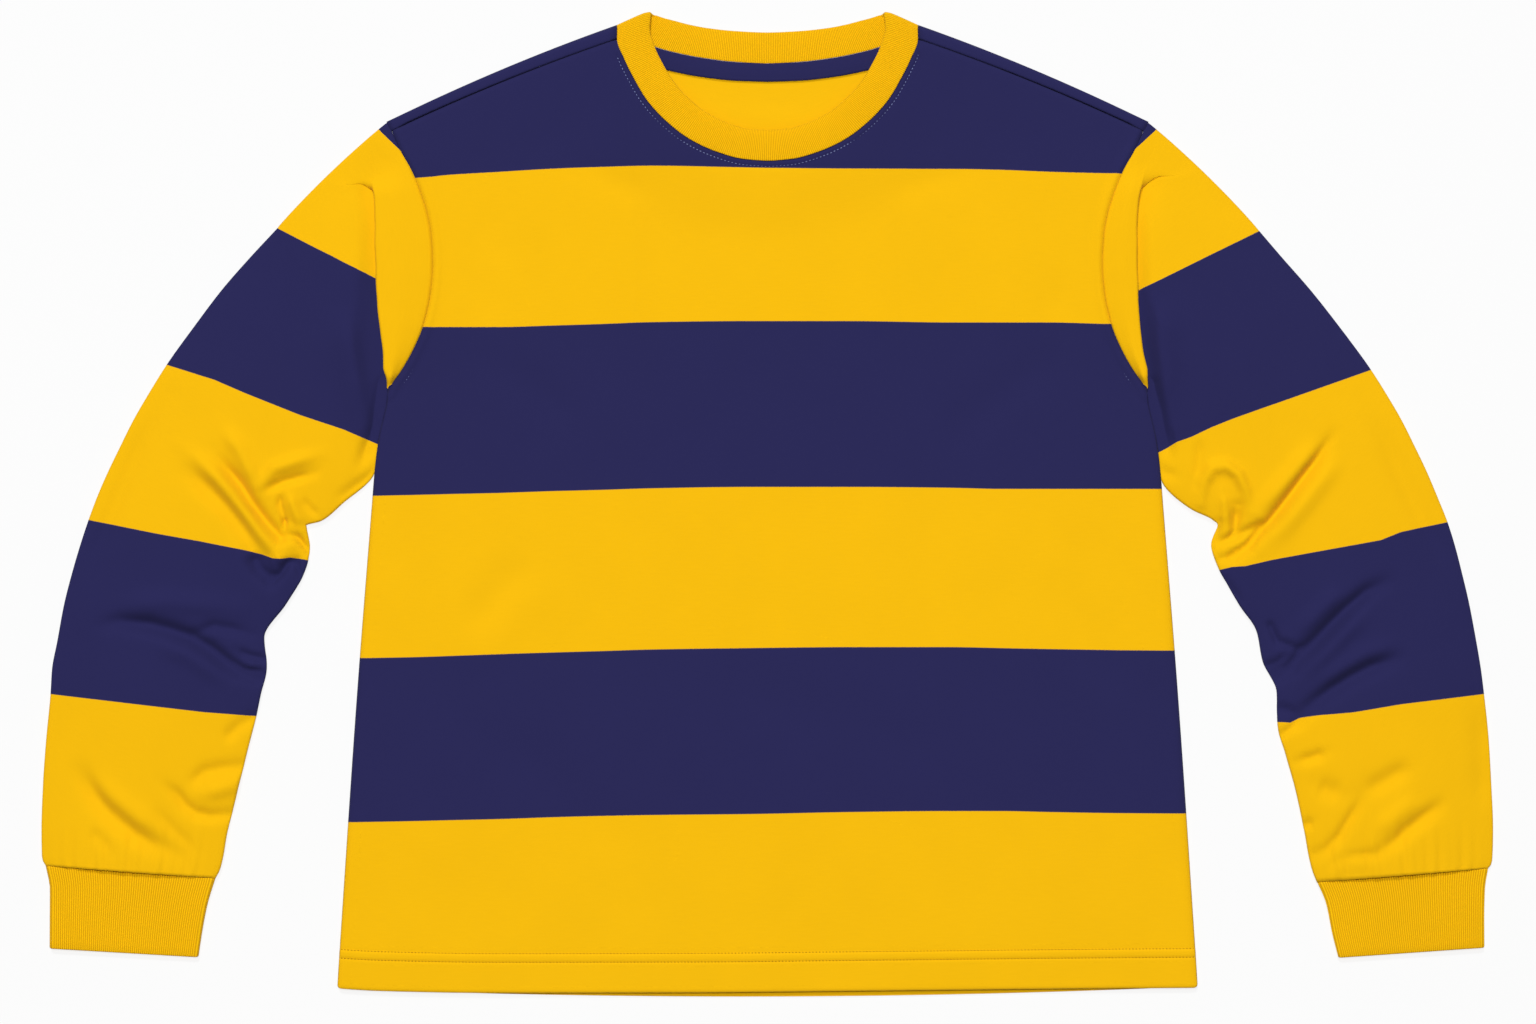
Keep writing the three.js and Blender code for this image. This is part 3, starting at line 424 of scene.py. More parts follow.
BODY_CREASES = (
    Crease(((-222, 198), (-212, 160), (-185, 120)), -0.9, 12, 14, 0.1, 0.0),
    Crease(((-196, 215), (-190, 185), (-176, 160)), -0.6, 10, 10),
    Crease(((225, 196), (216, 158), (190, 122)), -0.9, 14, 12, 0.1, 0.0),
    Crease(((-215, 110), (-160, 78), (-120, 40)), -1.3, 14, 14),
    Crease(((215, 112), (160, 74), (115, 30)), -1.2, 14, 14),
    Crease(((-60, -120), (60, -150), (150, -205)), -0.9, 20, 20),
    Crease(((-166, -36), (-190, -66), (-215, -96)), -1.6, 9, 14),
    Crease(((-150, -48), (-178, -84), (-205, -120)), 0.9, 12, 12),
    Crease(((-210, -150), (-140, -200), (-80, -265)), -0.9, 18, 18),
    Crease(((190, -40), (222, -90), (250, -150)), -1.0, 12, 14),
    Crease(((-70, 215), (-110, 225), (-150, 245)), -0.9, 10, 10),
    Crease(((75, 218), (120, 226), (160, 240)), -0.9, 10, 10),
)
BODY = BodyPattern()


def metres(places: ArrayLike) -> np.ndarray:
    """Turn millimetres into metres."""
    return np.asarray(places, dtype=float) * MM


@dataclass
class ClothGrid:
    """A grid of places that becomes a sheet of cloth, or a tube where it is joined round."""

    name: str
    places: np.ndarray
    stripes: np.ndarray | None = None
    join: bool = False
    missing: np.ndarray | None = None
    thickness: float = CLOTH

    def build(self, material: bpy.types.Material) -> bpy.types.Object:
        """Make the mesh, with a map of the cloth in metres and its stripe numbers, which on a rib are its
        wave for painted shade between the ribs.

        Args:
            material: The cloth's material.

        Returns:
            The finished object.
        """
        rows, columns = self.places.shape[:2]
        mesh = bmesh.new()
        bmesh.ops.create_grid(mesh, x_segments=columns - 1, y_segments=rows - 1, size=1.0)
        mesh.verts.ensure_lookup_table()
        flat = metres(self.places).reshape(-1, 3)
        for vertex, place in zip(mesh.verts, flat):
            vertex.co = place
        self._map_cloth(mesh, columns)
        if self.stripes is not None:
            layer = mesh.verts.layers.float.new("stripe")
            for vertex, number in zip(mesh.verts, self.stripes.reshape(-1)):
                vertex[layer] = number
        if self.missing is not None:
            gone = [face for face, out in zip(mesh.faces, self.missing.reshape(-1)) if out]
            bmesh.ops.delete(mesh, geom=gone, context="FACES")
        if self.join:
            bmesh.ops.remove_doubles(mesh, verts=mesh.verts, dist=1e-6)
        return finished(self.name, mesh, material, self.thickness)

    def _map_cloth(self, mesh: bmesh.types.BMesh, columns: int) -> None:
        """Lay the mesh out along its rows and columns, at real size.

        Args:
            mesh: The grid's bmesh.
            columns: How many columns the grid has.
        """
        across = np.linalg.norm(np.diff(self.places, axis=1), axis=2)
        down = np.linalg.norm(np.diff(self.places, axis=0), axis=2)
        u = np.concatenate([np.zeros((len(across), 1)), np.cumsum(across, axis=1)], axis=1)
        u -= u[:, columns // 2 : columns // 2 + 1]
        v = np.concatenate([np.zeros((1, down.shape[1])), np.cumsum(down, axis=0)])
        where = metres(np.stack([u, v], axis=2)).reshape(-1, 2)
        layer = mesh.loops.layers.uv.new("cloth")
        for face in mesh.faces:
            for loop in face.loops:
                loop[layer].uv = where[loop.vert.index]


def finished(
    name: str, mesh: bmesh.types.BMesh, material: bpy.types.Material, thickness: float = 0.0
) -> bpy.types.Object:
    """Turn a bmesh into a smooth object of the scene, with a wall where it needs one.

    Args:
        name: The piece's name.
        mesh: The bmesh, which is freed.
        material: The piece's material.
        thickness: The wall in millimetres, or nothing for a closed mesh.

    Returns:
        The object, at the origin.
    """
    bmesh.ops.recalc_face_normals(mesh, faces=mesh.faces)
    for face in mesh.faces:
        face.smooth = True
    data = bpy.data.meshes.new(name)
    mesh.to_mesh(data)
    mesh.free()
    data.materials.append(material)
    piece = bpy.data.objects.new(name, data)
    bpy.context.scene.collection.objects.link(piece)
    if thickness:
        wall = piece.modifiers.new("wall", "SOLIDIFY")
        wall.thickness = thickness * MM
        wall.offset = 0.0
        wall.use_even_offset = False
    log.info("%s: %d faces", name, len(data.polygons))
    return piece


def settle(piece: bpy.types.Object, nodes: Sequence[str] = ()) -> None:
    """Let a piece ride on the shirt, and stand for its nodes.

    Args:
        piece: The piece.
        nodes: The nodes that it stands for.
    """
    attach(piece, "root")
    if nodes:
        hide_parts(*nodes)


class Shader:
    """A small hand for laying out one node tree."""

    def __init__(self, tree: bpy.types.NodeTree) -> None:
        """Keep the tree that the nodes go into."""
        self.tree = tree

    def node(self, kind: str, **settings: object) -> bpy.types.Node:
        """Add a node.

        Args:
            kind: The node's type name.
            **settings: Its properties.

        Returns:
            The node.
        """
        node = self.tree.nodes.new(kind)
        for name, value in settings.items():
            setattr(node, name, value)
        return node

    def math(self, operation: str, first: Input, second: Input | None = None) -> bpy.types.NodeSocket:
        """Add a sum, whose two inputs are sockets or numbers.

        Args:
            operation: The sum's name.
            first: Its first input.
            second: Its second input, if it has one.

        Returns:
            The result's socket.
        """
        node = self.node("ShaderNodeMath", operation=operation)
        for socket, value in zip(node.inputs, (first, second)):
            self.feed(socket, value)
        return node.outputs[0]

    def feed(self, socket: bpy.types.NodeSocket, value: Input | None) -> None:
        """Give an input a value, or link it to another node's socket.

        Args:
            socket: The input.
            value: A number, a colour or another node's socket.
        """
        if isinstance(value, bpy.types.NodeSocket):
            self.tree.links.new(value, socket)
        elif value is not None:
            socket.default_value = value

    def blend(self, share: Input, low: Input, high: Input) -> bpy.types.NodeSocket:
        """Mix two colours.

        Args:
            share: How much of the second.
            low: The first colour.
            high: The second colour.

        Returns:
            The mixed colour's socket.
        """
        node = self.node("ShaderNodeMix", data_type="RGBA")
        self.feed(node.inputs["Factor"], share)
        self.feed(node.inputs[6], low)
        self.feed(node.inputs[7], high)
        return node.outputs[2]

    def spread(
        self, value: Input, low: float, high: float, to_low: float = 0.0, to_high: float = 1.0
    ) -> bpy.types.NodeSocket:
        """Move a value from one range to another, smoothly.

        Args:
            value: The value's socket.
            low: Where its range starts.
            high: Where its range ends.
            to_low: What the start becomes.
            to_high: What the end becomes.

        Returns:
            The new value's socket.
        """
        node = self.node("ShaderNodeMapRange", interpolation_type="SMOOTHSTEP")
        self.feed(node.inputs["Value"], value)
        names = ("From Min", "From Max", "To Min", "To Max")
        for name, number in zip(names, (low, high, to_low, to_high)):
            node.inputs[name].default_value = number
        return node.outputs["Result"]


def new_group(
    name: str, inputs: list[tuple], outputs: list[tuple]
) -> tuple[bpy.types.NodeTree, Shader, bpy.types.Node, bpy.types.Node]:
    """Start a node group.

    Args:
        name: The group's name.
        inputs: Its inputs, as names, socket types and first values.
        outputs: Its outputs, as names and socket types.

    Returns:
        The group, a hand for its tree, its input node and its output node.
    """
    group = bpy.data.node_groups.new(name, "ShaderNodeTree")
    for label, kind, value in inputs:
        socket = group.interface.new_socket(label, in_out="INPUT", socket_type=kind)
        if value is not None:
            socket.default_value = value
    for label, kind in outputs:
        group.interface.new_socket(label, in_out="OUTPUT", socket_type=kind)
    hand = Shader(group)
    return group, hand, hand.node("NodeGroupInput"), hand.node("NodeGroupOutput")


def knit_group() -> bpy.types.NodeTree:
    """Make the face of plain knitting: columns of small V stitches, as a height.

    Returns:
        The group.
    """
    group, hand, given, result = new_group(
        "knit_stitches",
        [
            ("Map", "NodeSocketVector", None),
            ("Columns", "NodeSocketFloat", 900.0),
            ("Courses", "NodeSocketFloat", 1150.0),
        ],
        [("Height", "NodeSocketFloat")],
    )
    split = hand.node("ShaderNodeSeparateXYZ")
    hand.feed(split.inputs[0], given.outputs["Map"])
    across = hand.math("MULTIPLY", split.outputs["X"], given.outputs["Columns"])
    along = hand.math("MULTIPLY", split.outputs["Y"], given.outputs["Courses"])
    column = hand.math("PINGPONG", across, 0.5)
    slant = hand.math("MULTIPLY", column, 1.3)
    course = hand.math("PINGPONG", hand.math("ADD", along, slant), 0.5)
    off_leg = hand.math("ABSOLUTE", hand.math("SUBTRACT", column, 0.25))
    legs = hand.math("MULTIPLY", hand.math("SUBTRACT", 0.5, off_leg), 1.2)
    hand.feed(result.inputs["Height"], hand.math("ADD", hand.math("MULTIPLY", course, 0.8), legs))
    return group


def yarn_group() -> bpy.types.NodeTree:
    """Make the uneven tone of cotton yarn: faint streaks along the courses and soft patches.

    Returns:
        The group.
    """
    group, hand, given, result = new_group(
        "yarn_tone",
        [
            ("Map", "NodeSocketVector", None),
            ("Place", "NodeSocketVector", None),
            ("Amount", "NodeSocketFloat", 0.06),
        ],
        [("Tone", "NodeSocketFloat"), ("Fuzz", "NodeSocketFloat")],
    )
    stretch = hand.node("ShaderNodeMapping")
    stretch.inputs["Scale"].default_value = (90.0, 900.0, 90.0)
    hand.feed(stretch.inputs["Vector"], given.outputs["Map"])
    streaks = hand.node("ShaderNodeTexNoise", noise_dimensions="2D")
    hand.feed(streaks.inputs["Vector"], stretch.outputs[0])
    streaks.inputs["Scale"].default_value = 1.0
    streaks.inputs["Detail"].default_value = 2.0
    patches = hand.node("ShaderNodeTexNoise")
    hand.feed(patches.inputs["Vector"], given.outputs["Place"])
    patches.inputs["Scale"].default_value = 22.0
    patches.inputs["Detail"].default_value = 3.0
    specks = hand.node("ShaderNodeTexNoise")
    hand.feed(specks.inputs["Vector"], given.outputs["Place"])
    specks.inputs["Scale"].default_value = 1400.0
    specks.inputs["Detail"].default_value = 1.0
    streaked = hand.math("MULTIPLY", streaks.outputs["Fac"], 0.6)
    both = hand.math("ADD", streaked, hand.math("MULTIPLY", patches.outputs["Fac"], 0.9))
    uneven = hand.math("ADD", both, hand.math("MULTIPLY", specks.outputs["Fac"], 0.5))
    centred = hand.math("SUBTRACT", uneven, 1.0)
    scaled = hand.math("MULTIPLY", centred, given.outputs["Amount"])
    hand.feed(result.inputs["Tone"], hand.math("ADD", 1.0, scaled))
    hand.feed(result.inputs["Fuzz"], specks.outputs["Fac"])
    return group


@dataclass(frozen=True)
class Finishes:
    """The node groups that the cloths share."""

    knit: bpy.types.NodeTree
    yarn: bpy.types.NodeTree


@dataclass(frozen=True)
class Cotton:
    """One cotton cloth: its colour, or its two colours where it is striped (on a rib the second is painted
    shade between the ribs), and its face.
    """

    name: str
    colour: tuple[float, float, float]
    second: tuple[float, float, float] | None = None
    columns: float = 900.0
    courses: float = 1150.0
    depth: float = 0.25
    uneven: float = 0.06
    roughness: float = 0.88
    sheen: float = 0.03
    stripe_edge: float = 0.010

    def build(self, finishes: Finishes) -> bpy.types.Material:
        """Make the material.

        Args:
            finishes: The shared node groups.

        Returns:
            The material.
        """
        material = bpy.data.materials.new(self.name)
        material.use_nodes = True
        tree = material.node_tree
        hand = Shader(tree)
        shader = tree.nodes["Principled BSDF"]
        cloth_map = hand.node("ShaderNodeUVMap", uv_map="cloth")
        place = hand.node("ShaderNodeTexCoord")
        yarn = hand.node("ShaderNodeGroup", node_tree=finishes.yarn)
        hand.feed(yarn.inputs["Map"], cloth_map.outputs["UV"])
        hand.feed(yarn.inputs["Place"], place.outputs["Object"])
        yarn.inputs["Amount"].default_value = self.uneven
        knit = hand.node("ShaderNodeGroup", node_tree=finishes.knit)
        hand.feed(knit.inputs["Map"], cloth_map.outputs["UV"])
        knit.inputs["Columns"].default_value = self.columns
        knit.inputs["Courses"].default_value = self.courses
        colour = (*self.colour, 1.0)
        if self.second is not None:
            # On a rib this attribute holds its wave, and the second colour is painted shade between the
            # ribs.
            stripe = hand.node("ShaderNodeAttribute", attribute_name="stripe")
            wave = hand.math("SINE", hand.math("MULTIPLY", stripe.outputs["Fac"], math.pi))
            share = hand.spread(wave, -self.stripe_edge, self.stripe_edge)
            colour = hand.blend(share, (*self.second, 1.0), (*self.colour, 1.0))
        toned = hand.node("ShaderNodeVectorMath", operation="SCALE")
        hand.feed(toned.inputs[0], colour if isinstance(colour, bpy.types.NodeSocket) else self.colour)
        hand.feed(toned.inputs["Scale"], yarn.outputs["Tone"])
        hand.feed(shader.inputs["Base Color"], toned.outputs[0])
        rough = hand.spread(yarn.outputs["Fuzz"], 0.3, 0.7, self.roughness - 0.06, self.roughness + 0.06)
        hand.feed(shader.inputs["Roughness"], rough)
        bump = hand.node("ShaderNodeBump")
        bump.inputs["Strength"].default_value = self.depth
        bump.inputs["Distance"].default_value = 0.0003
        hand.feed(bump.inputs["Height"], knit.outputs["Height"])
        hand.feed(shader.inputs["Normal"], bump.outputs["Normal"])
        shader.inputs["Specular IOR Level"].default_value = 0.06
        shader.inputs["Sheen Weight"].default_value = self.sheen
        shader.inputs["Sheen Roughness"].default_value = 0.5
        return material


YELLOW = (0.76, 0.413, 0.002)
NAVY = (0.0180, 0.0172, 0.076)
RIB_YELLOW = (0.83, 0.465, 0.002)
# Painted shade: a darker yellow that the rib takes between its ribs, where shade falls.
RIB_GROOVE_SHADE = (0.60, 0.30, 0.001)
AMBER = (0.30, 0.12, 0.002)
STEEL_BLUE = (0.19, 0.22, 0.42)


@dataclass
class FrontPanel:
    """The front body panel, with its turned hem stitched by two rows."""

    neck_columns: int = 34
    shoulder_columns: int = 46
    cut: tuple[float, float] = (0.602, 0.672)

    def columns(self) -> tuple[np.ndarray, np.ndarray]:
        """Give each column's share of the half width, and the height that it ends at.

        Returns:
            The shares and the heights, by column.
        """
        neck = BODY.neckline()
        at = np.linspace(0, len(neck) - 1, self.neck_columns)
        neck_x = np.interp(at, np.arange(len(neck)), neck[:, 0])
        neck_y = np.interp(at, np.arange(len(neck)), neck[:, 1]) - 0.3
        out = np.linspace(0, 1, self.shoulder_columns)[1:]
        spaced = mix(SEAM_AT_NECK[0], SEAM_AT_TIP[0] - 7.0, out)
        edge = SEAM_AT_TIP[0] - np.array([5.2, 3.8, 2.7, 1.8, 1.1, 0.5, 0.0])
        top_x = np.concatenate([neck_x, spaced, edge])
        top_y = np.concatenate([neck_y, BODY.seam_y(np.concatenate([spaced, edge])) - 0.15])
        share = top_x / BODY.half_width(top_y)
        share[-1] = 1.0
        return (
            np.concatenate([-share[:0:-1], share]),
            np.concatenate([top_y[:0:-1], top_y]),
        )

    def places(self) -> np.ndarray:
        """Give the grid's places, from the hem up.

        Returns:
            Each place's x, y and z.
        """
        share, top = self.columns()
        above = np.concatenate([[0, 0.35, 0.9, 1.7, 2.6], np.linspace(4, 18, 6), np.linspace(19.2, 29, 16)])
        low_x = share * HEM_HALF
        hem = BODY.front_hem_y(low_x)[None, :] + above[:, None]
        heights = np.concatenate(
            [
                np.linspace(-308, -280, 10),
                np.linspace(-276, 60, 92),
                np.linspace(63, 252, 74),
                [254, 256, 257.6, 258.8, 259.7, 260.4],
            ]
        )
        base = BODY.front_hem_y(low_x) + above[-1]
        low = BODY.front_hem_y(HEM_HALF) + above[-1]
        q = (heights - low) / (SEAM_AT_TIP[1] - low)
        rest = base[None, :] + q[:, None] * (top - base)[None, :]
        y = np.concatenate([hem, rest])
        x = share[None, :] * BODY.half_width(y)
        corner = np.clip(1 - (y - BODY.front_hem_y(low_x)[None, :]) / CORNER, 0, 1)
        x -= np.sign(x) * (np.abs(share[None, :]) ** 40) * CORNER * (1 - np.sqrt(1 - corner**2))
        flat = np.stack([x, y], axis=2)
        z = BODY.front_height(flat.reshape(-1, 2)).reshape(x.shape)
        return np.concatenate([flat, z[:, :, None]], axis=2)

    def build(self, cloth: bpy.types.Material) -> bpy.types.Object:
        """Build and dress the panel.

        Args:
            cloth: The cloth's material.

        Returns:
            The finished piece.
        """
        places = self.places()
        stripes = body_stripes(places[:, :, :2].reshape(-1, 2))
        piece = ClothGrid("front_panel", places, stripes).build(cloth)
        settle(piece, ["front"])
        return piece


@dataclass
class BackPanel:
    """The back body panel, flat where it rests, which comes over each shoulder to the seam."""

    neck_columns: int = 26
    shoulder_columns: int = 34
    turn_steps: int = 8
    cut: tuple[float, float] = (0.602, 0.694)

    def columns(self) -> tuple[np.ndarray, np.ndarray, np.ndarray]:
        """Give each column's share of the half width, its end, and whether it is on the shoulder.

        Returns:
            The shares, the ends and the marks, by column.
        """
        rows = np.asarray([NECK_FOLD, *BACK_NECK], dtype=float)[::-1]
        at = run_lengths(rows[:, :2])
        neck = through(at, rows[:, :2], np.linspace(0, at[-1], self.neck_columns))
        out = np.linspace(0, 1, self.shoulder_columns)[1:] ** 0.9
        x = mix(NECK_POINT[0], TIP[0], out)
        share = np.concatenate([neck[:, 0], x]) / TIP[0]
        end = np.concatenate([neck[:, 1] - 0.3, BODY.fold_y(x)])
        over = np.concatenate([np.zeros(len(neck)), np.ones(len(x))])
        over[len(neck) - 1] = 1
        end[len(neck) - 1] = NECK_POINT[1]
        return doubled(share, -1), doubled(end), doubled(over) > 0.5

    def places(self) -> tuple[np.ndarray, np.ndarray]:
        """Give the grid's places, from the hem up, and the cells to leave out.

        Returns:
            Each place's x, y and z, and the cells to leave out.
        """
        share, end, over = self.columns()
        low_x = share * HEM_HALF
        above = np.array([0, 0.5, 1.2, 2.2, 5, 9, 14, 19, 21.2, 24, 27.2, 28.4])
        hem = BODY.back_hem_y(low_x)[None, :] + above[:, None]
        heights = np.concatenate([np.linspace(-305, 60, 60), np.linspace(66, 262, 46)])
        base = BODY.back_hem_y(low_x) + above[-1]
        low, high = -317.5, 262
        q = (heights - low) / (high - low)
        layer = BODY.shoulder_layer(share * TIP[0])
        turn = (layer - FLOOR_LAYER) / 2
        plate_end = np.where(over, end - turn - 0.5 * CLOTH, end)
        rest = base[None, :] + q[:, None] * (plate_end - base)[None, :]
        y = np.concatenate([hem, rest])
        z = np.full(y.shape, FLOOR_LAYER)
        angles = np.linspace(math.pi, 0, self.turn_steps + 2)[1:]
        turned_y = end[None, :] - (turn + 0.5 * CLOTH)[None, :] + turn[None, :] * np.sin(angles)[:, None]
        turned_z = (layer + FLOOR_LAYER)[None, :] / 2 + turn[None, :] * np.cos(angles)[:, None]
        strip = np.linspace(0, 1, 6)[1:, None]
        seam = BODY.seam_y(share * 264.0) + 0.15
        strip_y = mix(turned_y[-1][None, :], seam[None, :], strip)
        strip_z = layer[None, :] - 0.7 * ease(strip, 0.7, 1)
        strip_z = np.broadcast_to(strip_z, strip_y.shape)
        wrap_y = np.where(over[None, :], np.concatenate([turned_y, strip_y]), end[None, :])
        wrap_z = np.where(over[None, :], np.concatenate([turned_z, strip_z]), FLOOR_LAYER)
        y = np.concatenate([y, wrap_y])
        z = np.concatenate([z, wrap_z])
        x = share[None, :] * BODY.half_width(np.minimum(y, TIP[1]))
        corner = np.clip(1 - (y - BODY.back_hem_y(low_x)[None, :]) / CORNER, 0, 1)
        x -= np.sign(x) * (np.abs(share[None, :]) ** 40) * CORNER * (1 - np.sqrt(1 - corner**2))
        x += np.sign(x) * 0.7 * np.abs(share[None, :]) ** 60 * ease(z, 2.0, 3.4)
        cell_over = over[:-1] & over[1:]
        missing = np.zeros((len(y) - 1, len(share) - 1), dtype=bool)
        missing[len(above) + len(heights) - 1 :, :] = ~cell_over[None, :]
        return np.stack([x, y, z], axis=2), missing

    def build(self, cloth: bpy.types.Material) -> bpy.types.Object:
        """Build and dress the panel.

        Args:
            cloth: The cloth's material.

        Returns:
            The finished piece.
        """
        places, missing = self.places()
        stripes = body_stripes(places[:, :, :2].reshape(-1, 2))
        piece = ClothGrid("back_panel", places, stripes, missing=missing).build(cloth)
        settle(piece, ["back"])
        return piece


@dataclass(frozen=True)
class SleeveShape:
    """One sleeve as it lies: its sections, its pleat, its stripes and its creases."""

    sections: Rows
    corners: Rows
    pleat: Rows
    stripes: tuple[Rows, ...]
    creases: tuple[Crease, ...]
    cuff: Rows
    slope: tuple[float, float]


# Stripe, outer x and y, underarm x and y
RIGHT_SECTIONS = (
    (1, 343.3, 192.5, 266.6, 68.0), (1.25, 362.2, 172.2, 268.0, 62.0),
    (1.5, 381.8, 149.8, 269.4, 56.0), (1.75, 401.4, 123.9, 271.0, 49.5),
    (2, 421.0, 96.6, 272.8, 40.2), (2.17, 431.5, 79.8, 275.1, 21.7),
    (2.4, 444.5, 57.4, 297.1, 0.0), (2.6, 453.9, 38.5, 311.8, -12.2),
    (2.72, 462.0, 21.7, 322.7, -16.4), (2.86, 469.3, 4.9, 320.6, -30.1),
    (3, 475.6, -11.9, 321.6, -39.9), (3.15, 481.6, -30.1, 325.5, -51.4),
    (3.3, 487.5, -50.4, 337.0, -70.7), (3.47, 492.8, -71.4, 352.4, -94.1),
    (3.65, 497.3, -95.9, 350.7, -114.1), (3.85, 501.2, -116.9, 354.9, -134.4),
    (4, 502.2, -133.7, 358.0, -149.1), (4.25, 505.4, -167.3, 364.7, -175.7),
    (4.5, 507.5, -198.1, 371.7, -204.4), (4.75, 508.5, -227.5, 378.3, -231.0),
    (4.97, 508.2, -248.5, 383.2, -256.2), (5, 505.7, -253.7, 386.4, -262.5),
)
LEFT_SECTIONS = (
    (1, 344.0, 191.1, 266.6, 68.0), (1.25, 360.8, 171.5, 268.0, 62.0),
    (1.5, 380.4, 149.1, 269.4, 56.0), (1.75, 400.8, 123.2, 271.2, 48.5),
    (2, 422.4, 93.8, 273.5, 35.3), (2.17, 432.2, 78.4, 275.6, 16.8),
    (2.4, 444.5, 57.4, 295.8, -3.8), (2.6, 453.9, 38.5, 311.1, -11.5),
    (2.72, 461.6, 22.4, 315.3, -15.7), (2.86, 469.3, 4.2, 310.8, -29.4),
    (3, 476.3, -13.3, 315.7, -45.5), (3.15, 481.6, -30.1, 322.3, -57.4),
    (3.3, 486.8, -50.4, 330.8, -72.1), (3.5, 491.4, -70.0, 342.6, -90.3),
    (3.65, 496.3, -95.9, 346.5, -109.9), (3.85, 499.8, -116.9, 356.6, -133.0),
    (4, 501.9, -133.7, 357.0, -152.9), (4.25, 505.4, -167.3, 362.9, -176.4),
    (4.5, 507.1, -198.1, 369.2, -198.8), (4.75, 508.2, -227.5, 375.5, -227.5),
    (4.97, 507.5, -251.3, 381.1, -256.2), (5, 505.0, -255.5, 384.6, -265.3),
)

# Share down the armhole, the fold's reach out from the seam, and its valley's reach back
RIGHT_PLEAT = (
    (0, 22, -38), (0.1, 26, -22), (0.18, 29.5, -9), (0.27, 33, -2), (0.365, 37.5, 4),
    (0.46, 40, 9), (0.56, 39.5, 11), (0.66, 36, 9), (0.755, 29, 4), (0.84, 20, 1),
    (0.913, 12.2, -1), (0.969, 3.8, -2), (1, 1.2, -2),
)
LEFT_PLEAT = (
    (0, 16, -36), (0.1, 15.5, -22), (0.18, 16, -9), (0.27, 18, -2), (0.365, 21.5, 3),
    (0.46, 24, 6), (0.56, 24.5, 7.5), (0.66, 22.5, 6), (0.755, 19, 3), (0.84, 14, 1),
    (0.913, 9.5, -1), (0.969, 3.6, -2), (1, 1.2, -2),
)

# Stripe, share across, corner x and y, and the place that the rest bows toward
RIGHT_CORNERS = (
    (1, 0.54, 277, 153.5, 288, 98), (1.25, 0.64, 284, 129, 292, 90), (1.5, 0.74, 293, 105, 294, 82),
)
LEFT_CORNERS = (
    (1, 0.54, 263, 149.5, 288, 98), (1.25, 0.64, 275, 125, 292, 90), (1.5, 0.74, 288, 102, 294, 82),
)

# Where each stripe of the sleeve starts, from its outer edge in
RIGHT_STRIPES = (
    ((271.95, 261.1), (253.75, 243.6)),
    ((343.35, 192.5), (273.35, 156.8)),
    ((420.35, 96.6), (386.75, 86.1), (365.75, 77), (327.25, 61.6), (295.75, 51.1), (271.95, 40.6)),
    ((474.95, -11.9), (425.25, -21.7), (397.25, -26.6), (369.25, -32.2), (353.85, -35.7),
     (346.15, -38.5), (340.55, -38.85), (334.25, -37.8), (327.25, -38.85), (322.35, -39.9)),
    ((502.25, -133.7), (453.25, -139.3), (393.75, -146.3), (358.05, -149.1)),
    ((506.5, -254.1), (439.95, -256.2), (384.2, -262.5)),
)
LEFT_STRIPES = (
    ((271.95, 261.1), (255.15, 245.7)),
    ((344.05, 190.4), (302.75, 170.1), (260.05, 149.1)),
    ((422.45, 93.1), (372.75, 75.6), (344.75, 65.8), (325.15, 58.8), (311.15, 53.2),
     (296.45, 46.2), (286.65, 42.7), (280.35, 38.5), (273.35, 35)),
    ((476.35, -13.3), (442.75, -20.3), (428.75, -25.9), (386.05, -33.6), (351.75, -39.9),
     (334.25, -44.1), (324.45, -44.8), (316.05, -46.9)),
    ((501.55, -133.7), (442.75, -140.7), (409.85, -146.3), (386.75, -148.4), (372.75, -150.5),
     (365.75, -153.65), (356.65, -153.3)),
    ((505.75, -254.1), (386.05, -265.65)),
)
RIGHT_CUFF = (
    (0, 505.4, -253.95, 386.7, -262.75), (0.28, 502.5, -270.2, 392.0, -280.0),
    (0.63, 502.6, -290.5, 395.5, -297.5), (1, 502.7, -311.8, 398.6, -317.8),
)
LEFT_CUFF = (
    (0, 504.7, -255.75, 384.9, -265.55), (0.28, 502.6, -270.2, 390.9, -280.0),
    (0.63, 502.2, -290.5, 395.1, -300.3), (1, 502.2, -311.1, 399.7, -318.1),
)

# Millimetres a pixel, and the photo's pixel column and row at X = 0 and Y = 0
PIXEL = 0.7
MIDDLE_COLUMN = 767.5
ZERO_ROW = 503

# How much higher a fold stands than it was first drawn, by its narrower spread
RIDGE_GROWTH = 1.45
TROUGH_GROWTH = ((3.2, 1.15), (5, 1.35), (math.inf, 1.8))


def sleeve_creases(folds: tuple, side: int) -> tuple[Crease, ...]:
    """Turn folds read off the photo into creases of a sleeve drawn at +X.

    Args:
        folds: For each fold, its pixels, height, left and right spread, and the shares of its
            height at both ends.
        side: Which side of the photo the sleeve is on.

    Returns:
        The creases.
    """
    creases = []
    for line, height, left, right, start, end in folds:
        width = min(left, right)
        growth = RIDGE_GROWTH
        if height <= 0:
            growth = next(value for limit, value in TROUGH_GROWTH if width < limit)
        places = tuple(
            (round(side * (x - MIDDLE_COLUMN) * PIXEL), round((ZERO_ROW - y) * PIXEL)) for x, y in line
        )
        creases.append(Crease(places, round(height * growth, 1), left, right, start, end))
    return tuple(creases)


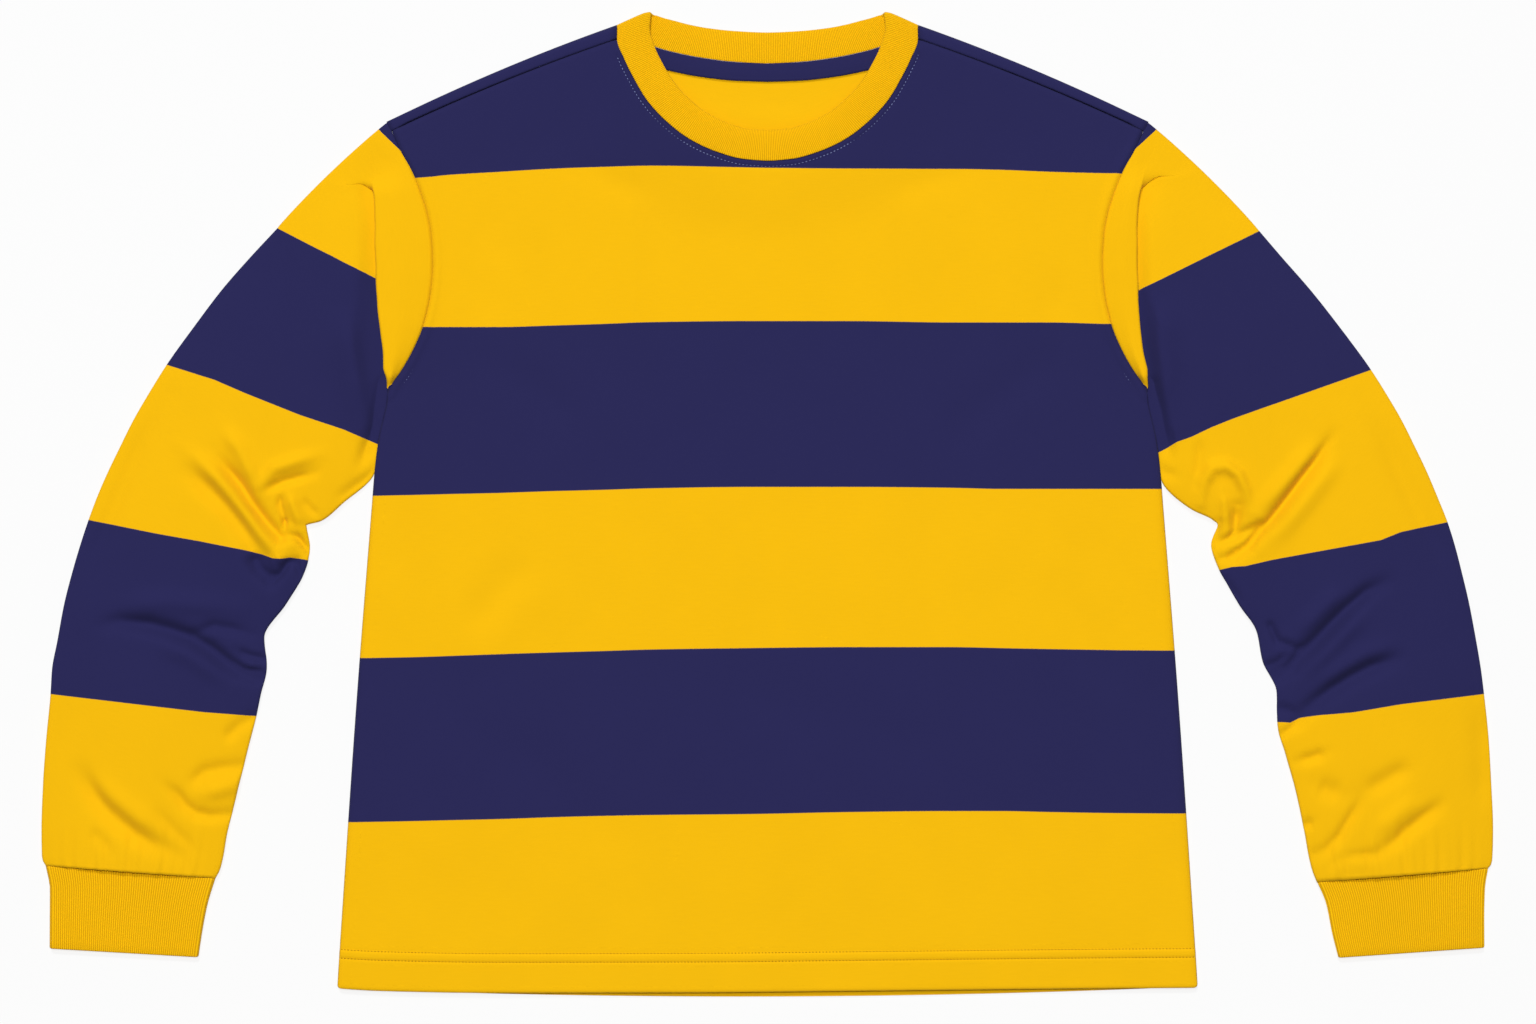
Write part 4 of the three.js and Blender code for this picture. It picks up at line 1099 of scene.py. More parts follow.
RIGHT_FOLDS = (
    # soft band inside the outer edge
    ([(168, 395), (140, 445), (118, 500), (98, 550), (88, 600)], -1.3, 7, 8, 0.2, 0.0),
    # long folds into the elbow
    ([(215, 450), (228, 468), (240, 485), (252, 503), (265, 520), (280, 537)], -4.4, 4.4, 4.4, 0.1, 0.8),
    ([(180, 445), (200, 460), (220, 480), (245, 510), (262, 535), (275, 550),
      (290, 546)], 2.6, 5.5, 4.5, 0.1, 0.4),
    ([(178, 462), (200, 480), (225, 505), (240, 525), (255, 545), (264, 556)], -2.4, 7, 6, 0.0, 0.6),
    ([(222, 425), (240, 450), (254, 478), (261, 492)], 2.4, 5, 6, 0.1, 0.4),
    ([(262, 487), (275, 468), (300, 460), (322, 455)], 2.3, 4.5, 4.5, 0.4, 0.2),
    ([(262, 491), (275, 486), (285, 481), (300, 477), (316, 473)], -2.4, 3.4, 3.6, 0.3, 0.3),
    ([(280, 492), (281, 505), (285, 520)], -2.6, 2.4, 2.4, 0.2, 0.8),
    ([(284, 521), (284, 527)], -2.6, 2.4, 2.4, 0.8, 0.8),
    ([(289, 490), (293, 505), (299, 522), (302, 530)], 2.0, 3.2, 3.4, 0.2, 0.4),
    ([(300, 498), (310, 508), (320, 517)], -1.3, 3.0, 3.0, 0.1, 0.2),
    ([(288, 534), (297, 537), (303, 545), (309, 552)], -3.0, 2.6, 2.6, 0.4, 1.0),
    # navy below the elbow
    ([(249, 552), (259, 568), (270, 579)], -3.0, 5.4, 5.2, 0.2, 0.9),
    ([(270, 579), (280, 574), (288, 563), (298, 560)], -2.6, 3.2, 3.2, 0.8, 0.4),
    ([(276, 560), (283, 557)], 1.6, 4.0, 4.0, 0.6, 0.6),
    ([(296, 560), (301, 578)], -1.6, 2.6, 2.6, 0.4, 0.8),
    ([(110, 605), (170, 602), (240, 609)], 1.7, 7.5, 7.5, 0.0, 0.4),
    ([(84, 628), (120, 622), (150, 624), (172, 630), (192, 638), (211, 649), (226, 661),
      (240, 670), (256, 674)],
     -3.8, 6.2, 5.6, 0.0, 0.8),
    ([(190, 634), (214, 626), (232, 628), (252, 635)], -2.0, 3.6, 3.6, 0.2, 0.3),
    ([(150, 640), (190, 655), (215, 672), (232, 686)], 1.5, 7, 6, 0.1, 0.2),
    ([(236, 650), (250, 656), (263, 659)], -2.4, 3.0, 3.0, 0.3, 0.9),
    ([(246, 664), (258, 666)], 1.3, 2.6, 2.6, 0.6, 0.6),
    # lower sleeve
    ([(72, 755), (85, 777), (96, 796), (107, 810), (121, 822), (136, 834), (151, 843), (166, 849),
      (180, 855)],
     -2.4, 7.0, 6.2, 0.0, 0.25),
    ([(92, 770), (112, 795), (140, 818), (172, 838)], 1.5, 6, 7, 0.0, 0.1),
    ([(160, 780), (177, 794), (185, 805), (196, 813), (211, 816), (230, 815)], -2.5, 4.2, 4.2, 0.1, 0.6),
    ([(239, 766), (218, 768), (205, 772), (194, 780), (184, 787)], -1.9, 4.6, 4.6, 0.7, 0.0),
    ([(204, 793), (222, 788), (237, 785)], 1.9, 5.5, 5.5, 0.5, 0.9),
    ([(254, 717), (241, 725), (231, 735), (225, 746)], -1.6, 4.6, 4.6, 0.8, 0.0),
    ([(150, 805), (165, 820), (181, 836), (197, 851)], -1.2, 4.0, 4.0, 0.0, 0.2),
    ([(92, 828), (112, 852)], -0.9, 5.0, 4.0, 0.0, 0.4),
    # beside the armpit
    ([(344, 300), (350, 345), (356, 380), (360, 400), (368, 424)], 2.6, 12, 6.5, 0.0, 0.5),
    ([(383, 385), (378, 415), (370, 440), (362, 460), (354, 478)], -2.6, 4.6, 5.0, 0.7, 0.1),
    ([(343, 495), (358, 484), (374, 472)], -1.6, 4.0, 4.0, 0.6, 0.8),
    ([(392, 148), (378, 165), (370, 190)], -1.5, 11, 10, 0.2, 0.5),
)
LEFT_FOLDS = (
    ([(1362, 400), (1385, 440), (1402, 480), (1418, 515), (1438, 550), (1450, 592)], -1.3, 8, 8, 0.1, 0.0),
    ([(1342, 422), (1328, 441), (1314, 461), (1300, 480), (1285, 501), (1270, 520), (1257, 533),
      (1247, 546), (1233, 556)],
     -4.0, 4.0, 3.6, 0.0, 0.8),
    ([(1322, 436), (1291, 474), (1265, 505), (1254, 520)], 2.4, 5.0, 6.0, 0.0, 0.4),
    ([(1345, 448), (1308, 498), (1282, 528), (1262, 548)], 2.0, 7.0, 5.0, 0.0, 0.3),
    ([(1238, 506), (1236, 520), (1234, 534)], -2.9, 3.6, 4.0, 0.5, 0.8),
    ([(1222, 541), (1240, 534), (1258, 525)], -2.6, 3.4, 3.4, 0.8, 0.8),
    ([(1222, 559), (1233, 556), (1246, 547), (1262, 532)], -2.2, 2.6, 2.6, 0.7, 0.5),
    ([(1219, 522), (1215, 536), (1211, 549)], -2.8, 2.8, 3.0, 0.4, 0.9),
    ([(1200, 503), (1203, 481), (1212, 468), (1225, 466), (1238, 475), (1244, 490), (1250, 512)],
     2.6, 4.0, 3.8, 0.4, 0.3),
    ([(1222, 490), (1225, 510), (1226, 530)], 1.6, 3.4, 3.4, 0.3, 0.5),
    ([(1201, 436), (1199, 460), (1196, 484)], -1.2, 4.0, 4.0, 0.0, 0.5),
    # navy below the elbow
    ([(1402, 573), (1366, 592), (1346, 609), (1330, 625), (1315, 642), (1300, 655), (1290, 667),
      (1277, 675)],
     -3.6, 5.6, 5.2, 0.0, 0.8),
    ([(1345, 585), (1312, 617), (1292, 638)], 1.8, 5.5, 6.0, 0.0, 0.3),
    ([(1372, 604), (1342, 634), (1318, 660), (1300, 680)], 1.9, 6.5, 5.0, 0.1, 0.3),
    ([(1271, 626), (1278, 641), (1299, 649)], -2.5, 3.0, 3.0, 0.8, 0.6),
    ([(1288, 653), (1277, 661), (1263, 667)], -2.3, 2.8, 2.8, 0.4, 0.9),
    ([(1412, 654), (1390, 660), (1370, 668), (1350, 678), (1330, 690), (1315, 702), (1299, 716)],
     -3.2, 6.2, 5.6, 0.0, 0.5),
    ([(1405, 640), (1362, 655), (1328, 678), (1308, 696)], 1.6, 6.0, 6.0, 0.0, 0.3),
    ([(1279, 709), (1290, 711)], -2.6, 3.6, 3.6, 0.8, 0.7),
    ([(1224, 580), (1240, 600)], -1.4, 3.0, 3.4, 0.7, 0.5),
    # lower sleeve
    ([(1450, 796), (1426, 814), (1406, 830), (1394, 841), (1374, 854)], -2.9, 5.2, 4.8, 0.0, 0.4),
    ([(1420, 795), (1392, 818), (1370, 836)], 1.4, 6.0, 6.0, 0.0, 0.1),
    ([(1366, 792), (1350, 818), (1340, 835), (1327, 849), (1316, 855)], -2.2, 4.0, 4.0, 0.0, 0.6),
    ([(1316, 784), (1342, 796)], -1.4, 7.0, 7.0, 0.3, 0.3),
    ([(1414, 763), (1387, 779), (1360, 795)], -1.7, 6.4, 6.4, 0.1, 0.3),
    ([(1298, 762), (1313, 757), (1328, 751)], -2.1, 3.8, 3.8, 0.4, 0.2),
    ([(1279, 738), (1290, 729), (1303, 722)], -2.0, 3.0, 3.0, 0.9, 0.3),
    ([(1301, 827), (1314, 821)], -2.2, 3.0, 3.0, 0.9, 0.2),
    ([(1378, 853), (1352, 857), (1335, 863)], -1.6, 3.2, 3.2, 0.3, 0.4),
    ([(1372, 862), (1345, 862), (1330, 876)], 1.0, 3.4, 3.4, 0.2, 0.5),
    ([(1478, 700), (1482, 760), (1481, 820)], -1.0, 8, 8, 0.1, 0.1),
    # beside the armpit
    ([(1160, 290), (1160, 340), (1164, 385), (1172, 425)], 2.4, 12, 5.5, 0.0, 0.3),
    ([(1153, 385), (1160, 415), (1167, 445), (1172, 470)], -2.6, 4.6, 5.0, 0.7, 0.1),
    ([(1142, 148), (1146, 172), (1147, 200)], -1.4, 11, 8, 0.2, 0.5),
    ([(1160, 470), (1178, 478)], -1.2, 4.0, 4.0, 0.8, 0.3),
)
RIGHT_CREASES = sleeve_creases(RIGHT_FOLDS, -1)
LEFT_CREASES = sleeve_creases(LEFT_FOLDS, 1)

RIGHT_SLEEVE = SleeveShape(
    RIGHT_SECTIONS, RIGHT_CORNERS, RIGHT_PLEAT, RIGHT_STRIPES, RIGHT_CREASES, RIGHT_CUFF, (15, 24)
)
LEFT_SLEEVE = SleeveShape(
    LEFT_SECTIONS, LEFT_CORNERS, LEFT_PLEAT, LEFT_STRIPES, LEFT_CREASES, LEFT_CUFF, (12, 13)
)


class RowKind(Enum):
    """What a row of the sleeve's grid belongs to, from the armhole out."""

    FLAP = 1
    RETURN = 2
    MAIN = 3


@dataclass
class Sleeve:
    """A sleeve as a closed tube: the cap's flap and fold, the length down to the cuff."""

    side: Side
    shape: SleeveShape
    dense: int = 241
    top_columns: int = 146
    under_columns: int = 20
    turn_steps: int = 7
    side_layer: float = 3.6
    puff: float = 5.2
    flap_rise: float = 6.2
    cut: tuple[float, float] = (0.47, 0.60)

    def bowed(
        self, start: np.ndarray, bow: np.ndarray, end: np.ndarray, share: Amount
    ) -> np.ndarray:
        """Follow a curve that leaves for one place and arrives at another."""
        first = mix(start, bow, share)
        return mix(first, mix(bow, end, share), share)

    def key_sections(self, along: np.ndarray, plain: bool = False) -> np.ndarray:
        """Place each row of the sections' table.

        Args:
            along: Shares from the outer edge to the underarm.
            plain: Whether to leave out the corners that the top layer turns beside the pleat.

        Returns:
            Places by section and share.
        """
        rows = []
        corners = {row[0]: row for row in self.shape.corners}
        for stripe, *ends in self.shape.sections:
            outer, inner = np.array(ends[:2]), np.array(ends[2:])
            if plain or stripe not in corners:
                rows.append(mix(outer, inner, along[:, None]))
                continue
            _, at, corner_x, corner_y, bow_x, bow_y = corners[stripe]
            turn, bow = np.array([corner_x, corner_y]), np.array([bow_x, bow_y])
            first = mix(outer, turn, (along / at)[:, None])
            share = np.clip((along - at) / (1 - at), 0, 1)[:, None]
            rows.append(np.where((along < at)[:, None], first, self.bowed(turn, bow, inner, share)))
        return np.array(rows)

    def profile(self, along: np.ndarray) -> tuple[np.ndarray, ...]:
        """Work out the pleat's fold at each place down the armhole.

        Args:
            along: Shares down the armhole.

        Returns:
            The two turns' centres, their radius, how far they bend, and how much of the
            pleat stands.
        """
        pleat = np.asarray(self.shape.pleat, dtype=float)
        reach = through(pleat[:, 0], pleat[:, 1], along)
        tuck = through(pleat[:, 0], pleat[:, 2], along)
        share = ease(along, 0.05, 0.3) * (1 - ease(along, 0.93, 1))
        main = self.first_layer(along)
        seam_layer = BODY.armhole_layer(self.seam_line(along)[:, 1])
        flap = np.maximum(seam_layer, main + mix(0.4, self.flap_rise, share))
        turn = np.maximum((flap - main) / 4, np.clip(-tuck / 4, 0.85, 3))
        mountain = np.stack([reach - turn - 0.5 * CLOTH, flap - turn], axis=1)
        valley = np.stack([mountain[:, 0] - tuck, main + turn], axis=1)
        drop = mountain[:, 1] - valley[:, 1]
        apart = np.maximum(np.hypot(tuck, drop), 2 * turn)
        bend = np.arctan2(drop, -tuck) + np.arcsin(np.clip(2 * turn / apart, -1, 1))
        return mountain, valley, turn, np.clip(bend, 0.3, 0.8 * math.pi), share

    def seam_line(self, along: np.ndarray) -> np.ndarray:
        """The armhole seam's places, from the shoulder tip to the armpit.

        Args:
            along: Shares down the armhole, from the shoulder tip.

        Returns:
            A place for each share.
        """
        line = BODY.armhole(0.25)
        reach = run_lengths(line)
        return through(reach / reach[-1], line, along)

    def cap_corner(self, seam: np.ndarray, first: np.ndarray, along: np.ndarray) -> np.ndarray:
        """Give the places that the cap's rows bow toward, straight beside the body."""
        corner = np.stack([first[:, 0], seam[:, 1]], axis=1)
        return mix(corner, (seam + first) / 2, ease(along, 0.97, 1)[:, None])

    def first_layer(self, along: np.ndarray) -> np.ndarray:
        """The main sleeve's height beside the pleat."""
        upper = mix(EDGE_LAYER, 2.4, ease(along, 0, 0.3))
        return mix(upper, 2.2, along**4)

    def cap_rows(self, along: np.ndarray) -> tuple[np.ndarray, np.ndarray, list[RowKind]]:
        """Place the rows from the armhole over the flap and its fold to the first section.

        Args:
            along: Shares down the armhole.

        Returns:
            Places, heights and kinds by row.
        """
        seam = self.seam_line(along)
        seam_layer = BODY.armhole_layer(seam[:, 1])
        first = self.key_sections(along)[0]
        plain_first = self.key_sections(along, plain=True)[0]
        mountain, valley, turn, bend, share = self.profile(along)
        way = unit(mix(unit(plain_first - seam), np.array([1.0, 0.0]), share[:, None]))
        even = ease(along, 0.9, 1.0)[:, None]
        corner = self.cap_corner(seam, first, along)
        rows, layers, kinds = [], [], []

        def add(out: np.ndarray, height: np.ndarray, step: float, kind: RowKind) -> None:
            """Add a row at a reach from the seam.

            Args:
                out: How far out from the seam each place is.
                height: Each place's height.
                step: The row's share of the way to the first section.
                kind: The row's kind.
            """
            folded = seam + way * out[:, None]
            spread = self.bowed(seam, corner, first, step)
            rows.append(mix(folded, spread, even))
            layers.append(height)
            kinds.append(kind)

        for t in np.linspace(0, 1, 15):
            height = mix(seam_layer, mountain[:, 1] + turn, ease(t, 0, 0.8))
            height = height + 0.5 * math.sin(math.pi * t) * share - 0.9 * math.exp(-((t * 14) ** 2))
            add(t * mountain[:, 0], height, 0.15 * t, RowKind.FLAP)
        for t in np.linspace(0, 1, 9)[1:]:
            out = mountain[:, 0] + turn * np.sin(t * bend)
            add(out, mountain[:, 1] + turn * np.cos(t * bend), 0.15 + 0.1 * t, RowKind.FLAP)
        last_out, last_height = out, mountain[:, 1] + turn * np.cos(bend)
        start_out = valley[:, 0] - turn * np.sin(bend)
        start_height = valley[:, 1] - turn * np.cos(bend)
        for t in (0.25, 0.5, 0.75):
            out = mix(last_out, start_out, t)
            add(out, mix(last_height, start_height, t), 0.25 + 0.07 * t, RowKind.RETURN)
        for t in np.linspace(0, 1, 7):
            angle = (1 - t) * bend
            out = valley[:, 0] - turn * np.sin(angle)
            kind = RowKind.MAIN if t > 0.3 else RowKind.RETURN
            add(out, valley[:, 1] - turn * np.cos(angle), 0.32 + 0.08 * t, kind)
        end, end_layer = rows[-1], layers[-1]
        main = self.first_layer(along)
        for t in np.linspace(0, 1, 21)[1:-1]:
            folded = mix(end, first, t)
            spread = self.bowed(seam, corner, first, 0.4 + 0.6 * t)
            rows.append(mix(folded, spread, even))
            layers.append(mix(end_layer, main, t))
            kinds.append(RowKind.MAIN)
        return np.array(rows), np.array(layers), kinds

    def places(self) -> tuple[np.ndarray, np.ndarray]:
        """Give the tube's places and stripe numbers, ring by ring from the armhole.

        Returns:
            Each place's x, y and z, and its stripe number.
        """
        along = np.linspace(0, 1, self.dense)
        cap, cap_layers, kinds = self.cap_rows(along)
        stripes = [row[0] for row in self.shape.sections]
        at = np.concatenate(
            [
                np.linspace(1, 1.75, 22, endpoint=False),
                np.linspace(1.75, 2.3, 26, endpoint=False),
                np.linspace(2.3, 3.9, 98, endpoint=False),
                np.linspace(3.9, 4.94, 46, endpoint=False),
                [4.94, 4.96, 4.98, 4.99, 5.0],
            ]
        )
        rest = through(stripes, self.key_sections(along), at)
        top = np.concatenate([cap, rest])
        under_rest = through(stripes, self.key_sections(along, plain=True), at)
        under = np.concatenate([self.under_cap(along, cap), under_rest])
        kinds = kinds + [RowKind.MAIN] * len(at)
        top[: len(cap)] = self.round_outline(top[: len(cap)], along)
        under[: len(cap)] = self.round_outline(under[: len(cap)], along)
        heights = self.heights(top, cap_layers, kinds, along, at)
        return self.rings(top, under, heights, kinds, along)

    def under_cap(self, along: np.ndarray, cap: np.ndarray) -> np.ndarray:
        """Place the under layer's rows beneath the cap.

        Args:
            along: Shares down the armhole, from the shoulder tip.
            cap: The top layer's rows above it.

        Returns:
            Places by row and share.
        """
        seam = self.seam_line(along)
        first = self.key_sections(along, plain=True)[0]
        reach = np.linalg.norm(cap[:, 0] - cap[0, 0], axis=1)
        reach = reach / np.linalg.norm(first[0] - seam[0])
        rows = []
        for i, out in enumerate(reach):
            share = mix(out, i / len(cap), along)[:, None]
            spread = self.bowed(seam, self.cap_corner(seam, first, along), first, share)
            rows.append(mix(mix(seam, first, share), spread, ease(along, 0.9, 1)[:, None]))
        return np.array(rows)

    def round_outline(self, rows: np.ndarray, along: np.ndarray) -> np.ndarray:
        """Bow the shoulder's outline between the tip and the first stripe's end.

        Args:
            rows: The rows' places.
            along: Shares down the armhole, from the shoulder tip.

        Returns:
            The rows with the bow added.
        """
        out = np.clip((rows[:, :1, 0] - TIP[0]) / (343.3 - TIP[0]), 0, 1)
        bow = 2.4 * np.sin(np.pi * out) ** 0.7 * np.exp(-((along[None, :] / 0.14) ** 2))
        return rows + bow[:, :, None] * np.array([0.69, 0.72])

    def heights(
        self,
        top: np.ndarray,
        cap_layers: np.ndarray,
        kinds: list[RowKind],
        along: np.ndarray,
        at: np.ndarray,
    ) -> np.ndarray:
        """Give the top layer's height over the whole sleeve.

        Args:
            top: The top layer's places.
            cap_layers: The heights of the rows from the armhole to the first section.
            kinds: The rows' kinds.
            along: The columns' shares.
            at: The stripes of the rows from the first section on.

        Returns:
            Heights by row and column.
        """
        mountain, _, turn, _, standing = self.profile(along)
        way = np.array([1.0, 0.0])
        fold = self.seam_line(along) + way * (mountain[:, 0] + turn)[:, None]
        fold_line = fold[(along > 0.12)][::8]
        main = np.array([kind is RowKind.MAIN for kind in kinds])
        flat = top.reshape(-1, 2)
        away, _ = to_line(flat, fold_line, endless=True)
        away = (-away).reshape(top.shape[:2])
        puffed = self.side_layer + self.puff * np.sin(np.pi * along) ** 0.6
        puffed = mix(EDGE_LAYER, puffed, ease(np.linspace(0, 1, len(top)), 0.0, 0.3)[:, None])
        low = mix(puffed, self.first_layer(along)[None, :], np.maximum(standing, along > 0.5)[None, :])
        slope = mix(self.shape.slope[0], self.shape.slope[1], ease(along, 0.35, 0.8))
        height = mix(low, puffed, ease(away, -1, slope[None, :]))
        rows = len(cap_layers)
        steps = np.linalg.norm(np.diff(top[: rows + 1], axis=0), axis=2)
        steps[: int(np.argmax(main))] = 0
        beyond = np.cumsum(steps, axis=0)
        past = ease(beyond / np.clip(beyond[-1], 1, 18), 0, 1)
        height[:rows] = mix(cap_layers, height[:rows], past)
        out = np.linalg.norm(top[:rows] - top[:1], axis=2)
        smooth = mix(cap_layers[:1], puffed[:rows], ease(out, 0, 34))
        height[:rows] = mix(smooth, height[:rows], ease(along, 0.08, 0.27)[None, :])
        folds = creased(self.shape.creases, flat).reshape(top.shape[:2])
        height += np.where(main[:, None], folds, 0.25 * folds)
        gathers = 0.3 * np.sin(along * 61) + 0.25 * np.sin(along * 97 + 1.0) + 0.15 * np.sin(along * 31)
        row_at = np.concatenate([np.zeros(len(cap_layers)), at])
        height += ease(row_at, 4.6, 4.97)[:, None] * gathers[None, :] * np.sin(np.pi * along) ** 0.5
        return np.maximum(height, FLOOR_LAYER + CLOTH + 0.3)

    def rings(
        self,
        top: np.ndarray,
        under: np.ndarray,
        heights: np.ndarray,
        kinds: list[RowKind],
        along: np.ndarray,
    ) -> tuple[np.ndarray, np.ndarray]:
        """Join the top and under layers by their two folded edges.

        Args:
            top: The top layer's places.
            under: The under layer's places.
            heights: The top layer's heights.
            kinds: The rows' kinds.
            along: The columns' shares.

        Returns:
            The rings' places and their stripe numbers.
        """
        angles = np.linspace(0, math.pi, self.turn_steps + 2)[1:-1]
        edges = {}
        for column in (0, -1):
            line = top[:, column]
            run = unit(np.gradient(line, axis=0))
            sign = 1.0 if column == 0 else -1.0
            edges[column] = (line, run, sign * np.stack([run[:, 1], -run[:, 0]], axis=1))
        rings, numbers = [], []
        for i, kind in enumerate(kinds):
            ends = {}
            for column in (0, -1):
                line, run, way = edges[column]
                radius = (heights[i, column] - FLOOR_LAYER) / 2
                ends[column] = (way[i], radius, radius + 0.5 * CLOTH)
            over, over_z = self.trimmed(top[i], heights[i], along, edges, ends, i, self.top_columns)
            below, _ = self.trimmed(under[i], heights[i], along, edges, ends, i, self.under_columns)
            below_z = np.full(len(below), FLOOR_LAYER)
            turns = []
            for column, start, finish in ((-1, over[-1], below[-1]), (0, below[0], over[0])):
                way, radius, _ = ends[column]
                spread = (1 - np.cos(angles)) / 2
                plan = mix(start, finish, spread[:, None]) - way * radius * np.sin(angles)[:, None]
                z_start = over_z[-1] if column == -1 else FLOOR_LAYER
                z_finish = FLOOR_LAYER if column == -1 else over_z[0]
                turns.append((plan, mix(z_start, z_finish, spread)))
            plan = np.concatenate([over, turns[0][0], below[::-1], turns[1][0], over[:1]])
            z = np.concatenate([over_z, turns[0][1], below_z, turns[1][1], over_z[:1]])
            number = self.stripe_field(plan)
            if kind is not RowKind.MAIN:
                tip = to_line(plan, self.shape.stripes[0], endless=True)[0]
                flap = np.clip(-tip / 30, -0.5, 0.5)
                share = 0.0 if kind is RowKind.FLAP else 0.5
                on_top = np.arange(len(plan)) < self.top_columns
                on_top[-1] = True
                number = np.where(on_top, mix(flap, number, share), number)
            rings.append(np.concatenate([plan, z[:, None]], axis=1))
            numbers.append(number)
        places = np.array(rings)
        places[:, :, 0] *= self.side.value
        return places, np.array(numbers)

    def trimmed(
        self,
        row: np.ndarray,
        heights: np.ndarray,
        along: np.ndarray,
        edges: dict,
        ends: dict,
        i: int,
        count: int,
    ) -> tuple[np.ndarray, np.ndarray]:
        """Read a row between the starts of its two turns.

        Args:
            row: The row's places.
            heights: The row's heights.
            along: The columns' shares.
            edges: The two edges' lines and directions.
            ends: The two turns' ways in, radii and insets.
            i: The row's number.
            count: How many places to read.

        Returns:
            The places and their heights.
        """
        reach = run_lengths(row)
        trims = []
        for column, near in ((0, 4), (-1, -5)):
            _, run, _ = edges[column]
            lead = unit(row[near] - row[column])
            slant = max(abs(float(run[i][0] * lead[1] - run[i][1] * lead[0])), 0.35)
            trims.append(min(ends[column][2] / slant, 0.2 * reach[-1]))
        low = np.interp(trims[0], reach, along)
        high = np.interp(reach[-1] - trims[1], reach, along)
        share = np.linspace(0, 1, count)
        at = mix(low, high, share + 0.25 * share * (1 - share))
        places = np.stack([np.interp(at, along, row[:, k]) for k in (0, 1)], axis=1)
        return places, np.interp(at, along, heights)

    def stripe_field(self, plan: np.ndarray) -> np.ndarray:
        """Give the stripe number at places on the sleeve."""
        below = [-to_line(plan, line, endless=True)[0] for line in self.shape.stripes]
        return np.minimum(stripe_number(np.stack(below, axis=1)), 4.95)

    def build(self, cloth: bpy.types.Material) -> bpy.types.Object:
        """Build and dress the sleeve.

        Args:
            cloth: The cloth's material.

        Returns:
            The finished piece.
        """
        places, numbers = self.places()
        name = f"{self.side.word}_sleeve_cloth"
        piece = ClothGrid(name, places, numbers, join=True).build(cloth)
        settle(piece, [f"{self.side.word}_sleeve"])
        return piece


def rib_wall(
    name: str, middle: np.ndarray, half: float, ribs: int, material: bpy.types.Material
) -> bpy.types.Object:
    """Make a doubled rib wall round a middle surface that is joined along its columns, with painted shade
    between its ribs.

    Args:
        name: The piece's name.
        middle: The surface's places, rows from the seam edge to the free edge.
        half: Half the wall's thickness.
        ribs: How many ribs stand round it.
        material: The rib's material.

    Returns:
        The object.
    """
    wrap = np.concatenate([middle[:, -3:-1], middle, middle[:, 1:3]], axis=1)
    around = unit(np.gradient(wrap, axis=1)[:, 2:-2])
    across = unit(np.gradient(middle, axis=0))
    normal = unit(np.cross(around, across))
    columns = middle.shape[1]
    wave = np.cos(2 * np.pi * ribs * np.arange(columns) / (columns - 1))
    rows = []
    last = middle.shape[0] - 1
    for i in range(last + 1):
        rows.append(middle[i] + normal[i] * (half * (0.86 + 0.20 * wave))[:, None])
    edge_width = half * 0.9
    for angle in (0.25, 0.5, 0.75):
        out = edge_width * math.sin(angle * math.pi)
        level = half * math.cos(angle * math.pi)
        ripple = 0.86 + 0.12 * wave * math.cos(angle * math.pi)
        rows.append(middle[last] + across[last] * out + normal[last] * (level * ripple)[:, None])
    for i in range(last, -1, -1):
        rows.append(middle[i] - normal[i] * (half * (0.86 - 0.20 * wave))[:, None])
    rows.append(rows[0])
    places = np.array(rows)
    # Painted shade: the rib's wave goes in as stripe numbers and darkens the colour between the ribs.
    groove_shade = np.broadcast_to(0.5 * wave, places.shape[:2])
    return ClothGrid(name, places, groove_shade, join=True, thickness=0.0).build(material)


@dataclass
class Cuff:
    """A doubled rib cuff, folded at its open end."""

    side: Side
    shape: SleeveShape
    ribs: int = 144
    top_layer: float = 4.4
    half: float = RIB / 2
    cut: tuple[float, float] = (0.222, 0.057)

    def ring(self, outer: np.ndarray, inner: np.ndarray, count: int) -> np.ndarray:
        """Place the middle of the wall round one section of the flat cuff.

        Args:
            outer: The section's outer end.
            inner: The section's inner end.
            count: How many places to give.

        Returns:
            The places round it.
        """
        turn = (self.top_layer - self.half) / 2
        middle = (self.top_layer + self.half) / 2
        way = unit(inner - outer)
        inset = turn + self.half
        start, end = outer + way * inset, inner - way * inset
        share = np.linspace(0, 1, 60)[:, None]
        angles = np.linspace(0, math.pi, 14)
        top = np.concatenate([mix(start, end, share), np.full((60, 1), self.top_layer)], axis=1)
        bottom = np.concatenate([mix(end, start, share), np.full((60, 1), self.half)], axis=1)

        def turned(centre: np.ndarray, out: np.ndarray, first: float) -> np.ndarray:
            """Bend the wall half round.

            Args:
                centre: Where the bend is centred.
                out: Which way it bulges.
                first: 1 where it goes down, and -1 where it comes up.

            Returns:
                The bend's places.
            """
            plan = centre + out * turn * np.sin(angles)[:, None]
            height = middle + first * turn * np.cos(angles)
            return np.concatenate([plan, height[:, None]], axis=1)

        round_inner = turned(end, way, 1)
        round_outer = turned(start, -way, -1)
        loop = np.concatenate([top, round_inner[1:-1], bottom, round_outer[1:-1], top[:1]])
        reach = run_lengths(loop)
        return through_line(loop, np.linspace(0, reach[-1], count))

    def build(self, rib: bpy.types.Material) -> bpy.types.Object:
        """Build and dress the cuff.

        Args:
            rib: The rib's material.

        Returns:
            The finished piece.
        """
        rows = np.asarray(self.shape.cuff, dtype=float)
        at = np.concatenate([[0.0, 0.02], np.linspace(0.06, 0.985, 11)])
        ends = through(rows[:, 0], rows[:, 1:], at)
        count = self.ribs * 4 + 1
        middle = np.array([self.ring(row[:2], row[2:], count) for row in ends])
        middle[:, :, 0] *= self.side.value
        name = f"{self.side.word}_cuff_rib"
        piece = rib_wall(name, middle, self.half, self.ribs, rib)
        settle(piece, [f"{self.side.word}_cuff"])
        return piece


